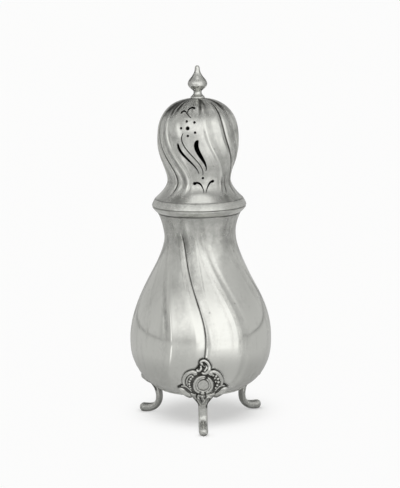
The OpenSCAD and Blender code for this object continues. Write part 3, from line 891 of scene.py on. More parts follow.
    def leg(self):
        """The leg with its round toe, in rings."""
        rows, columns = 60, 32
        middle, run, wide, thick = self.leg_line(np.linspace(0, 1, rows))
        cap = np.radians([12, 24, 36, 48, 60, 70, 80])
        end = middle[-1] + np.stack([self.s.toe_r * np.sin(cap), 0 * cap], -1)
        middle = np.concatenate([middle, end])[:, None]
        run = np.concatenate([run, np.repeat([[1.0, 0.0]], len(cap), 0)])[:, None]
        wide, thick = (np.concatenate([half, self.s.toe_r * np.cos(cap)])[:, None] for half in (wide, thick))
        a = np.linspace(0, 2 * math.pi, columns, endpoint=False)
        return rings(self.off_leg(middle, run, wide * np.sin(a), thick * np.cos(a)), caps=True)

    def strokes(self):
        """Paths of the ornament: places and half widths along each."""
        found = []
        for flat, group in ((0.0, self.SCROLLS), (-0.35, self.LEAVES)):
            for half, path in group:
                t, points = curve(path)
                u, z = points.T * MM
                girth = tapered(half, 0.35, 6.4 * t * (1 - t))
                found.append((self.on_body(u, z, self.lift(u, z) + flat * girth), girth))
        t = np.linspace(0, 1, 90)
        a = np.radians(mix(self.GAP[1], 360 + self.GAP[0], t))
        for half, wide, high in self.RINGS:
            u, z = (self.MIDDLE[0] + wide * np.cos(a)) * MM, (self.MIDDLE[1] + high * np.sin(a)) * MM
            girth = tapered(half, 0.5, 3 * np.sin(math.pi * t))
            found.append((self.on_body(u, z, self.lift(u, z) + 0.25 * MM), girth))
        t = np.linspace(0, 1, 30)
        for side, start, end, half in self.RIBS:
            girth = half * MM * (1 - 0.75 * t ** 2)
            found.append((self.on_leg(mix(start, end, t), side * (1 - 0.25 * t), -0.45 * girth), girth))
        for half, path in self.CURLS:
            t, points = curve(path)
            girth = tapered(half, 0.5, 6 * t * (1 - t))
            found.append((self.on_leg(points[:, 1], points[:, 0], 0.15 * MM), girth))
        return found

    def ornament(self):
        """Scrolls swept along their paths, and beads, by geometry nodes."""
        points, edges, girths, beads = [], [], [], []
        for line, girth in self.strokes():
            start = len(points)
            points += [tuple(p) for p in line]
            girths += list(girth)
            beads += [0.0] * len(line)
            edges += [(start + i, start + i + 1) for i in range(len(line) - 1)]
        for half, u, z in np.array(self.BEADS) * MM:
            points.append(tuple(self.on_body(u, z, self.lift(u, z) + 0.1 * half)))
            girths.append(half)
            beads.append(1.0)
        mesh = bpy.data.meshes.new("ornament_paths")
        mesh.from_pydata(points, edges, [])
        keep(mesh, "girth", girths)
        keep(mesh, "bead", beads)
        obj = new_object("ornament", mesh)
        board, _, source, values = shape_tree("Rocaille")
        girth = board.kept("girth")
        section = board.add("GeometryNodeCurvePrimitiveCircle", {"mode": "RADIUS"}, {
            "Resolution": 14, "Radius": 1.0})
        lines = board.add("GeometryNodeMeshToCurve", sockets={"Mesh": source})
        swept = board.add("GeometryNodeCurveToMesh", sockets={
            "Curve": lines, "Profile Curve": section, "Scale": girth, "Fill Caps": True})
        ball = board.add("GeometryNodeMeshIcoSphere", sockets={"Radius": 1.0, "Subdivisions": 3})
        balls = board.add("GeometryNodeInstanceOnPoints", sockets={
            "Points": source, "Selection": board.kept("bead") > 0.5, "Instance": ball, "Scale": girth})
        both = board.add("GeometryNodeJoinGeometry", sockets={"Geometry": [swept, balls]})
        close_tree(board, both, finishes().cast)
        grow(obj, board, values)
        return obj

    def casting(self, material):
        """Plate, leg and ornament in one skin."""
        obj = self.ornament()
        whole = bmesh.new()
        whole.from_mesh(obj.data)
        for part in (self.plate(), self.leg()):
            mesh = from_points("part", *part)
            whole.from_mesh(mesh)
            bpy.data.meshes.remove(mesh)
        bmesh.ops.recalc_face_normals(whole, faces=whole.faces)
        whole.to_mesh(obj.data)
        whole.free()
        remesh = obj.modifiers.new("one_skin", "REMESH")
        remesh.mode, remesh.voxel_size, remesh.use_smooth_shade = "VOXEL", self.s.grain, True
        settle(obj)
        co = places(obj.data)
        co[:, 2] = np.maximum(co[:, 2], 0)
        obj.data.vertices.foreach_set("co", co.astype(np.float32).ravel())
        obj.data.materials.clear()
        obj.data.materials.append(material)
        return obj

    def recesses_and_shade(self, mesh):
        """How dark each place is: tarnish on the ground between the scrolls, painted shade with dirt on the
        sides next to the body, and painted light and shade on the leg.
        """
        co = places(mesh)
        ends = read(mesh.edges, "vertices", 2, np.int32)
        facing = read(mesh.vertices, "normal", 3)
        count = np.bincount(ends.ravel(), minlength=len(co))[:, None]
        a, b = ends.T
        soft = co
        for _ in range(self.ROUNDS):
            total = np.zeros_like(co)
            np.add.at(total, a, soft[b])
            np.add.at(total, b, soft[a])
            soft = total / count
        hollow = ((soft - co) * facing).sum(1)
        turn, out, z = cylindrical(co)
        gap = out - body_skin(self.s, turn, z, 0) - self.s.solder
        lift = self.lift(turn * body_outline(self.s, z), z)
        on_plate = past(z, 20.5, 2)
        # painted shade with dirt on the sides next to the body
        side = on_plate * within(gap, 0.2, 0.4)
        ground = 0.93 * on_plate * within(gap - lift, 0.08, 0.3)
        recess = mix(0.7, 0.9, on_plate) * past(hollow, 0.02, 0.1)
        # painted light and shade on the leg
        leg = (1 - on_plate) * self.painted_leg_shade(co, facing)
        return np.maximum.reduce([recess, side, ground, leg, self.cuts(co, facing), 0.1 * on_plate])

    @staticmethod
    def painted_leg_shade(co, facing):
        """How dark the leg is: darker overall, painted shade on its back, its flanks and the top of the toe,
        painted shade with grime on its underside, and a painted highlight along the middle of the toe.
        """
        reach = -co[:, 1]
        toe = past(reach, 28, 3) * within(reach, 36, 2.5)
        # a painted highlight along the middle of the top of the toe
        streaked = 1 - 0.6 * np.exp(-(co[:, 0] / (0.45 * MM)) ** 2)
        # painted shade on the top of the toe
        top = 0.6 * toe * streaked * ramp_up(facing[:, 2], 0.45, 0.4)
        # painted shade with grime under the leg and the toe
        under = 0.75 * ramp_up(-facing[:, 2], 0.1, 0.5)
        # painted shade on the back of the leg, towards the body
        back = 0.65 * ramp_up(facing[:, 1], 0.2, 0.6)
        # darker overall, with painted shade on the flanks
        shaded_flank = 0.22 + 0.16 * ramp_up(np.abs(facing[:, 0]), 0.75, 0.25)
        return np.maximum.reduce([shaded_flank, top, under, back])

    def cuts(self, co, facing):
        """How dark the cuts between the curls are."""
        cut = np.zeros(len(co))
        front = np.nonzero((facing[:, 1] < 0.2) & (co[:, 2] > 12 * MM) & (co[:, 2] < 25 * MM))[0]
        for path in self.CUTS:
            line = curve(path)[1] * MM
            apart = np.hypot(co[front, None, 0] - line[:, 0], co[front, None, 2] - line[:, 1]).min(1)
            cut[front] = np.maximum(cut[front], 0.97 * within(apart, 0.3, 0.5))
        return cut


class CASTER_OT_body(bpy.types.Operator):
    """Raises the pear body with its swirled flutes"""
    bl_idname = "caster.body"
    bl_label = "Body"

    # the grid of the sheet: columns of a flute, and rows
    COLUMNS, ROWS = 112, 130

    def execute(self, context):
        scene = context.scene
        board, s, _, values = shape_tree("Pear body", scene.caster_body, scene.caster_flutes)

        def profile(t, a):
            z = s.base_z + t * (s.bowl_h + s.shoulder_h + s.flare_h)
            return body_outline(s, z) * (1 - body_hollows(s, a, z, s.body_fold)), z, body_twist(s, z)

        sheet = fluted_sheet(board, self.COLUMNS, self.ROWS, profile, s.wall, lambda turn: turn)
        close_tree(board, sheet, finishes().sheet)
        obj = new_object("body_sheet", bpy.data.meshes.new("body_sheet"))
        grow(obj, board, values)
        self.stains_and_shade(obj.data, plain_sizes(scene.caster_body, scene.caster_flutes))
        hand_over(obj, "vessel", "silver", "body_shell")
        return {"FINISHED"}

    @staticmethod
    def stains_and_shade(mesh, s):
        """Tarnish in the creases, under the lip and inside, where it also stands in for the shade, random
        wear, and painted shade: bands beside the ridges, rolls and creases, towards the neck and the base, and
        a painted shadow with dirt round the cartouches.
        """
        co = places(mesh)
        turn, out, z = cylindrical(co)
        skin = body_skin(s, turn, z, s.body_fold) - 0.4 * s.wall
        swirled = turn - body_twist(s, z)
        side, right_roll = from_crease(swirled), body_roll(s, z)

        def along(place, half, fade):
            """1 on a line up the body, at an angle from each crease."""
            return within(np.abs(side - place) * out, half, fade)

        high = past(z, 72, 10) * short_of(z, 112, 6)
        line = 0.95 * along(0, 0.1, 0.7) * root(bound(body_depth(s, z)))
        # painted shade along the roll on the right of each crease, at the neck
        roll = 0.25 * high * along(right_roll, 0.1, 0.6)
        # uneven wear in streaks along the flutes
        streaked = 0.11 * ramp_up(streaks(swirled, 7, 80), 0.5, 0.4) * past(z, 38, 16)
        # painted shade in a band left of the right ridge
        left_of_ridge = along(s.ridge_right, 2.1, 0.4) * (side < s.ridge_right)
        inner = 0.3 * past(z, 42, 8) * short_of(z, 90, 14) * left_of_ridge
        # painted shade between each crease and the roll on its right
        shaded_flank = 0.2 * past(z, 46, 20) * past(side * out, 0, 1) * within((side - right_roll) * out, -1.2, 0.9)
        # painted shade in the groove beyond the left ridge
        beyond_ridge = along(-s.ridge_left - 0.55 * s.groove_w, 0.7, 1.5)
        groove = 0.4 * past(z, 50, 12) * short_of(z, 90, 16) * beyond_ridge
        # painted shade just left of each crease
        beside = 0.24 * along(-0.8 * s.roll_left, 0.7, 1.2)
        # painted shade towards the neck under the rim, and towards the base
        neck = 0.37 * past(z, 87, 22) + 0.13 * short_of(z, 34, 12)
        # tarnish inside, which also stands in for the shade in there
        inside = np.where(out < skin, 0.7, 0)
        lip = 0.95 * within(s.base_z + s.bowl_h + s.shoulder_h + s.flare_h - z, 0.25, 0.7)
        near = np.full(len(co), 1.0)
        low = np.nonzero((z < 46 * MM) & (out > skin))[0]
        for name, *_ in CASTER_OT_feet.FEET:
            foot = places(bpy.data.objects[name].data)
            foot = foot[foot[:, 2] > 19.5 * MM]
            tree = KDTree(len(foot))
            for i, p in enumerate(foot):
                tree.insert(p, i)
            tree.balance()
            near[low] = np.minimum(near[low], [tree.find(co[i])[2] for i in low])
        # dirt in the joint and a painted shadow on the body round each cartouche
        edge = 0.97 * within(near, 0.4, 0.9)
        dull = neck + streaked + groove + (shaded_flank + beside) * high
        stain_and_shade(mesh, np.maximum.reduce([line, inside, lip, edge, roll, inner, dull]))


class CASTER_OT_dome(bpy.types.Operator):
    """Raises the dome of the cover and pierces its three panels"""
    bl_idname = "caster.dome"
    bl_label = "Dome"

    # the grid of the sheet: columns of a flute, and rows
    COLUMNS, ROWS = 84, 150
    # slots of a panel: half width in millimetres, then degrees from the middle of the panel
    # and share of the height from waist to crown
    SLOTS = [
        (1.1, [(17.5, 0.54), (1, 0.43), (15, 0.24), (3, 0.15)]),
        (0.27, [(-1.5, 0.62), (-17.5, 0.47), (8.5, 0.26), (-4.5, 0.10)]),
        (0.7, [(-14, 0.50), (-22, 0.36), (-7, 0.26), (-10, 0.12)]),
        (0.38, [(-8, 0.86), (-6, 0.89), (1, 0.88), (4, 0.83)]),
        (0.38, [(15, 0.91), (4, 0.94), (-3, 0.86), (11, 0.80)]),
        (0.5, [(-21.5, 0.00), (-15, 0.03), (-7, -0.02), (-2, -0.11)]),
        (0.5, [(12, 0.02), (7, 0.025), (1, -0.03), (1.5, -0.11)])]
    # round holes of a panel: radius, degrees, share of the height
    HOLES = [
        (0.95, 6, 0.68), (0.6, 4.5, 0.76), (0.6, 16.5, 0.75), (0.6, -4, 0.68), (0.6, 4.5, 0.59),
        (0.6, 16, 0.63), (0.6, -5.5, 0.065), (0.5, -8, 0.86), (0.5, 15, 0.91), (0.75, -21.5, 0.0),
        (0.75, 12, 0.02)]
    # painted dark reflections on the skirt: place and width in degrees
    SKIRT_REFLECTIONS = [(-32, 17), (38, 12), (95, 14), (150, 10), (-170, 15), (-120, 12)]
    # the same round the seat of the finial
    CROWN_REFLECTIONS = [(9, 13), (62, 9), (-62, 11), (128, 14), (-150, 16)]

    def execute(self, context):
        scene = context.scene
        board, s, source, values = shape_tree("Pierced dome", scene.caster_cover, scene.caster_flutes)
        cutters = self.cutters(board, s, source)
        whole = fluted_sheet(board, self.COLUMNS, self.ROWS, lambda t, a: self.profile(s, t, a), s.sheet,
                             lambda turn: turn + wander(s, turn))
        pierced = board.add("GeometryNodeMeshBoolean", {"operation": "DIFFERENCE", "solver": "MANIFOLD"}, {
            "Mesh 1": whole, "Mesh 2": cutters})
        close_tree(board, board.smoothed(pierced), finishes().sheet)
        obj = new_object("dome_sheet", self.pattern())
        grow(obj, board, values)
        sizes = plain_sizes(scene.caster_cover, scene.caster_flutes)
        self.shade(obj.data, sizes)
        self.stains_and_shade(obj.data, sizes)
        hand_over(obj, "cover", "silver", "cover_dome")
        return {"FINISHED"}

    @staticmethod
    def profile(s, t, a):
        """Radius, height and turn from the skirt over the crown to the hole for the shank."""
        bulb_at, seat_at = 0.52, 0.95
        bulb_z = s.skirt_z + s.skirt_h + s.bulb_h
        low = mix(s.skirt_z, bulb_z, least(t / bulb_at, 1.0))
        up = crown_end(s) * bound((t - bulb_at) / (seat_at - bulb_at))
        arc = s.bulb_r * cosine(up) ** (2 / s.crown_exp)
        r = pick(t < bulb_at, cover_outline(s, low), mix(arc, s.bore_r, bound((t - seat_at) / (1 - seat_at))))
        z = pick(t < bulb_at, low, bulb_z + crown_rise(s) * sine(up) ** (2 / s.crown_exp))
        return r * (1 - cover_hollows(s, a, z)), z, cover_twist(s, z)

    def pattern(self):
        """The motif as points that carry the shape of each slot and hole, for all the panels."""
        rows = []
        for k in range(FLUTES):
            for half, path in self.SLOTS:
                rows.append((0.0, half * MM, k * STEP, [(math.radians(a), v, 0.0) for a, v in path]))
            for radius, a, v in self.HOLES:
                rows.append((1.0, radius * MM, k * STEP, [(math.radians(a), v, 0.0)] * 4))
        mesh = bpy.data.meshes.new("dome_sheet")
        mesh.from_pydata([(0, 0, 0)] * len(rows), [], [])
        for i, key in enumerate(("round", "half", "turn")):
            keep(mesh, key, [row[i] for row in rows])
        for i in range(4):
            keep(mesh, f"p{i}", [row[3][i] for row in rows], "FLOAT_VECTOR", "vector")
        return mesh

    @staticmethod
    def cutters(board, s, source):
        """Prisms along the slots and drills for the round holes."""
        steps, sides, ahead, full = 25, 28, 0.02, 3.08
        kind, half, turn = (board.kept(key) for key in ("round", "half", "turn"))
        knots = [board.split(board.kept(f"p{i}", "FLOAT_VECTOR")) for i in range(4)]
        spot = board.split(board.add("GeometryNodeInputPosition"))
        x, y, deep = spot, spot.part("Y"), spot.part("Z")
        filed = pick(deep > 0.0, s.filed_out, s.filed_in)

        def middle(t):
            z = mix(s.skirt_z + s.skirt_h, crown_top(s), bezier([k.part("Y") for k in knots], t))
            return cover_twist(s, z) - HALF_STEP + bezier(knots, t) + turn, z

        def placed(at, z, r, shape, test):
            copies = board.add("GeometryNodeInstanceOnPoints", sockets={
                "Points": source, "Selection": test, "Instance": shape})
            points = board.add("GeometryNodeRealizeInstances", sockets={"Geometry": copies})
            return board.set_round(points, r + pick(deep > 0.0, s.cut_out, -s.cut_in), at, z)

        t = x + 0.5
        (before, low), (after, high), (here, z) = middle(t - ahead), middle(t + ahead), middle(t)
        r = cover_outline(s, z)
        over, rise = (after - before) * r, high - low
        long = root(over * over + rise * rise)
        wide = s.slot_end + (half - s.slot_end) * full * root(t) * most(1 - t, 0.0) ** 1.5
        aside = 2 * y * wide * filed
        prism = board.add("GeometryNodeMeshCube", sockets={
            "Size": (1.0, 1.0, 1.0), "Vertices X": steps, "Vertices Y": 2, "Vertices Z": 2})
        slots = placed(here - aside * rise / long / r, z + aside * over / long, r, prism, kind < 0.5)
        spin, level = middle(0.0 * t)
        span = cover_outline(s, level)
        drill = board.add("GeometryNodeMeshCylinder", {"fill_type": "NGON"}, {
            "Vertices": sides, "Radius": 1.0, "Depth": 1.0})
        holes = placed(spin + x * half * filed / span, level + y * half * filed, span, drill, kind > 0.5)
        return [slots, holes]

    @staticmethod
    def shade(mesh, s):
        """Gives the skin of the pierced sheet the even shading of its rule."""
        inward, margin, fits = 0.05, 0.06 * MM, 0.94
        co = places(mesh)
        loops = read(mesh.loops, "vertex_index", kind=np.int32)
        totals = read(mesh.polygons, "loop_total", kind=np.int32)
        face = np.repeat(np.arange(len(totals)), totals)
        flat = read(mesh.polygons, "normal", 3)[face].astype(float)
        middle = read(mesh.polygons, "center", 3)[face]
        turn, out, z = cylindrical(co[loops] + inward * (middle - co[loops]))
        z = np.clip(z, s.skirt_z + margin, crown_top(s) - margin)
        da, dz = 0.008, 0.05 * MM
        across = (cover_skin(s, turn + da, z) - cover_skin(s, turn - da, z)) / (2 * da) / np.maximum(out, MM)
        along = (cover_skin(s, turn, z + dz) - cover_skin(s, turn, z - dz)) / (2 * dz)
        round_x, round_y = np.sin(turn), -np.cos(turn)
        rule = np.stack([round_x + across * round_y, round_y - across * round_x, -along], -1)
        rule /= np.linalg.norm(rule, axis=1, keepdims=True)
        fit = (rule * flat).sum(1)
        normals = np.where((fit > fits)[:, None], rule, np.where((fit < -fits)[:, None], -rule, flat))
        mesh.normals_split_custom_set(normals)

    @classmethod
    def stains_and_shade(cls, mesh, s):
        """Tarnish in the creases, dark joints at the skirt and the seat, tarnish inside that also stands in
        for the shade, tarnish streaks and painted dark reflections round the seat, painted dark reflections on
        the skirt, a painted highlight on each ridge, painted shade beside the ridges, at the waist and on the
        right, and a dome darker towards the bottom.
        """
        turn, out, z = cylindrical(places(mesh))
        top = crown_top(s)
        below = top - z
        rise = (z - s.skirt_z - s.skirt_h) / s.bulb_h
        flute = cover_depth(s, z)
        side = cover_off(s, turn, z)
        ridge = np.where(side > 0, s.cover_right, s.cover_left)

        # dark spots round the dome, for the painted dark reflections
        def dark_reflection(spots):
            off = [((np.degrees(turn) - at + 180) % 360 - 180) ** 2 / wide ** 2 for at, wide in spots]
            return np.exp(-np.minimum.reduce(off))

        skin = cover_skin(s, turn, np.minimum(z, top - 0.01 * MM))
        # tarnish inside, which also stands in for the shade in there
        inside = np.where((out < skin - 0.5 * s.sheet) & (below > 0.3 * s.sheet), 1, 0)
        line = 0.97 * within(np.abs(side) * out, 0.28, 0.6) * root(flute)
        foot = 0.65 * within(z - s.skirt_z, 0, 0.6)
        seat = 0.5 * within(out, 3.9, 0.8) * (below < 2 * MM)
        # darker towards the waist and the skirt, with painted shade on the right side
        low_and_right_dark = mix(0.3, 0.13, smooth(rise)) * smooth(5 * rise + 1.1) + 0.05 * (1 + np.sin(turn))
        # tarnish streaks round the seat, with a painted dark reflection of what is overhead
        reach = (5 + 9 * streaks(turn, 17, 36)) * MM
        crown = (0.28 + 0.6 * ramp_up(streaks(turn, 852, 90), 0.5, 0.3)) * past(reach - below, 0, 7)
        cap = 0.42 * dark_reflection(cls.CROWN_REFLECTIONS) * within(below, 6, 5)
        # painted shade at the bends by the waist, stronger on the right
        bend = np.minimum(np.abs(side + s.cover_left), np.abs(side + 2.8 * s.cover_roll)) * out
        at_waist = smooth(1.4 - 4.6 * np.abs(rise + 0.08)) * (0.3 + 0.7 * smooth(2 * np.sin(turn)))
        pinch = 0.8 * within(bend, 0.2, 0.9) * at_waist
        # painted dark reflections on the skirt
        skirt_reflection = 0.66 * dark_reflection(cls.SKIRT_REFLECTIONS) * within(z - s.skirt_z, 2.2, 3.4)
        # a painted highlight along each ridge
        ridge_highlight = 0.85 * flute * within(np.abs(np.abs(side) - ridge) * out, 0.3, 0.7)
        # painted shade in a band beside each ridge
        off_band = np.abs(np.abs(side) - 0.74 * ridge) * out
        shade_band = np.where(side > 0, 0.28, 0.14) * flute * within(off_band, 0.6, 1.6)
        dull = (low_and_right_dark + shade_band + skirt_reflection) * (1 - ridge_highlight) + np.maximum(crown, cap)
        stain_and_shade(mesh, np.maximum.reduce([line, inside, foot, seat, pinch, dull]))


class CASTER_OT_turned(bpy.types.Operator):
    """Turns the base disc, the two rim wires, the bezel and the sleeve"""
    bl_idname = "caster.turned"
    bl_label = "Rims and tubes"

    def execute(self, context):
        look = finishes()
        body, cover = context.scene.caster_body, context.scene.caster_cover
        boxes = {n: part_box(n) for n in ("base_plate", "neck_rim", "neck_bezel", "cover_rim", "cover_sleeve")}
        low = {n: b[0].z for n, b in boxes.items()}
        high = {n: b[1].z for n, b in boxes.items()}
        wide = {n: b[1].x for n, b in boxes.items()}
        quarter = np.radians(np.linspace(0, 90, 16))

        sheet, dish, edge = 0.9 * MM, 1.6 * MM, 18 * MM
        under, disc_r = low["base_plate"], wide["base_plate"]
        disc = [(0, under + dish), (edge - dish, under + dish), (edge, under), (disc_r, under),
                (disc_r, under + sheet), (edge + sheet / 2, under + sheet),
                (edge - dish + sheet / 2, under + sheet + dish), (0, under + sheet + dish)]
        self.piece("base_disc", eased(disc, 0.3 * MM), look.inside, "vessel", "silver_inside", "base_plate")

        ease, rim = 0.5 * MM, 26.3 * MM
        lip, joint = low["neck_rim"], high["neck_rim"]
        flange, tube, bore = wide["neck_bezel"], 19 * MM, 18.3 * MM
        gap, ledge = 0.05 * MM, 0.8 * MM
        over, across = np.sin(quarter) ** body.rim_cone, np.abs(np.cos(quarter)) ** body.rim_cone
        swell = zip(mix(body.lip_r + ease, rim - ease / 2, over), mix(lip + ease, joint - ease, 1 - across))
        neck = [(tube + gap, lip), (body.lip_r, lip), *swell, (rim - ease, joint), (flange + gap, joint),
                (flange + gap, joint - ledge), (tube + gap, joint - ledge)]
        self.piece("neck_wire", eased(neck, 0.25 * MM), look.wire, "vessel", "silver_wire", "neck_rim",
                   [(lip, 0.95), (joint, 0.4)])

        end, foot = low["neck_bezel"], joint - ledge + gap
        bezel = [(bore, end), (tube, end), (tube, foot), (flange, foot), (flange, joint), (bore, joint)]
        self.piece("bezel_tube", eased(bezel, 0.2 * MM), look.inside, "bezel", "silver_inside", "neck_bezel")

        start, skirt = low["cover_rim"], high["cover_rim"]
        sleeve, sleeve_bore, collar = 18.25 * MM, 17.55 * MM, wide["cover_sleeve"]
        room, top = 0.03 * MM, high["cover_sleeve"]
        bulge = zip(mix(cover.skirt_r, rim, across), mix(start + ease, skirt, over))
        wire = [(sleeve + room, start), (rim - ease, start), *bulge, (collar + room, skirt),
                (collar + room, top - ledge), (sleeve + room, top - ledge)]
        self.piece("cover_wire", eased(wire, 0.25 * MM), look.wire, "cover", "silver_wire", "cover_rim",
                   [(start, 0.4), (skirt, 0.75)])

        end, step = low["cover_sleeve"], top - ledge
        push = [(sleeve_bore, end), (sleeve, end), (sleeve, step), (collar, step), (collar, top),
                (sleeve_bore, top)]
        self.piece("sleeve_tube", eased(push, 0.2 * MM), look.inside, "cover", "silver_inside",
                   "cover_sleeve")
        return {"FINISHED"}

    @staticmethod
    def piece(name, outline, material, body, slot, node, joints=()):
        """Turns a piece and tarnishes it, most at the levels of its joints."""
        obj = lathe(name, outline, material)
        z = places(obj.data)[:, 2]
        dull = np.full(len(z), 0.2 if joints else 0.3)
        dark = [strength * within(np.abs(z - joint), 0.1, 0.4) for joint, strength in joints]
        stain_and_shade(obj.data, np.maximum.reduce([dull, *dark]))
        hand_over(obj, body, slot, node)


class CASTER_OT_finial(bpy.types.Operator):
    """Turns the finial, and finishes its washer and nut"""
    bl_idname = "caster.finial"
    bl_label = "Finial"

    # outline of the bud on its spool: radius in millimetres, share of the height over the crown
    BUD = [
        (3.9, 0), (3.95, 0.03), (3.75, 0.055), (3.3, 0.08), (2.75, 0.11), (2.35, 0.145), (2.2, 0.185),
        (2.35, 0.225), (2.9, 0.258), (3.75, 0.298), (4.6, 0.345), (5.15, 0.39), (5.38, 0.435), (5.3, 0.48),
        (4.95, 0.53), (4.3, 0.585), (3.5, 0.64), (2.75, 0.695), (2.15, 0.75), (1.75, 0.8), (1.5, 0.85),
        (1.38, 0.9), (1.3, 0.94), (1.05, 0.975), (0.6, 0.995), (0, 1)]

    def execute(self, context):
        look = finishes()
        low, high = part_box("finial")
        crown = crown_top(plain_sizes(context.scene.caster_cover))
        shank = 1.5 * MM
        points = curve(self.BUD)[1]
        bud = [(max(r, 0) * MM, crown + min(max(v, 0), 1) * (high.z - crown)) for r, v in points]
        bud[-1] = (0, high.z)
        outline = [(0, low.z), (0.8 * shank, low.z), (shank, low.z + 0.2 * shank), (shank, crown)] + bud
        obj = lathe("finial_bud", outline, look.cast, segments=128)
        self.stains_and_shade(obj.data, crown, high.z)
        hand_over(obj, "cover", "silver_cast", "finial")
        for node in ("finial_washer", "finial_nut"):
            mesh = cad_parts[node].data
            mesh.materials.clear()
            mesh.materials.append(look.inside)
        return {"FINISHED"}

    @staticmethod
    def stains_and_shade(mesh, crown, tip):
        """Tarnish under the bud and over the foot ring, and painted shade down the left and right flanks."""
        turn, _, z = cylindrical(places(mesh))
        up = (z - crown) / (tip - crown)
        # painted shade on the left and right flanks
        shaded_flank = ramp_up(np.abs(np.sin(turn)), 0.45, 0.5)
        # the cone only on its flanks, as painted shade; the bowl and the spool tarnished, with more painted
        # shade on the flanks
        cone = 0.75 * shaded_flank * ramp_up(up, 0.46, 0.12) * ramp_down(up, 0.93, 0.12)
        bowl = (0.3 + 0.35 * shaded_flank) * close_to(np.abs(up - 0.25), 0.02, 0.05)
        spool = (0.1 + 0.45 * shaded_flank) * close_to(np.abs(up - 0.17), 0.05, 0.05)
        ring = 0.6 * close_to(np.abs(up - 0.085), 0.012, 0.03)
        seat = 0.7 * close_to(up, 0.004, 0.02)
        stain_and_shade(mesh, np.maximum.reduce([0.12 + 0.24 * shaded_flank, cone, bowl, spool, ring, seat]))


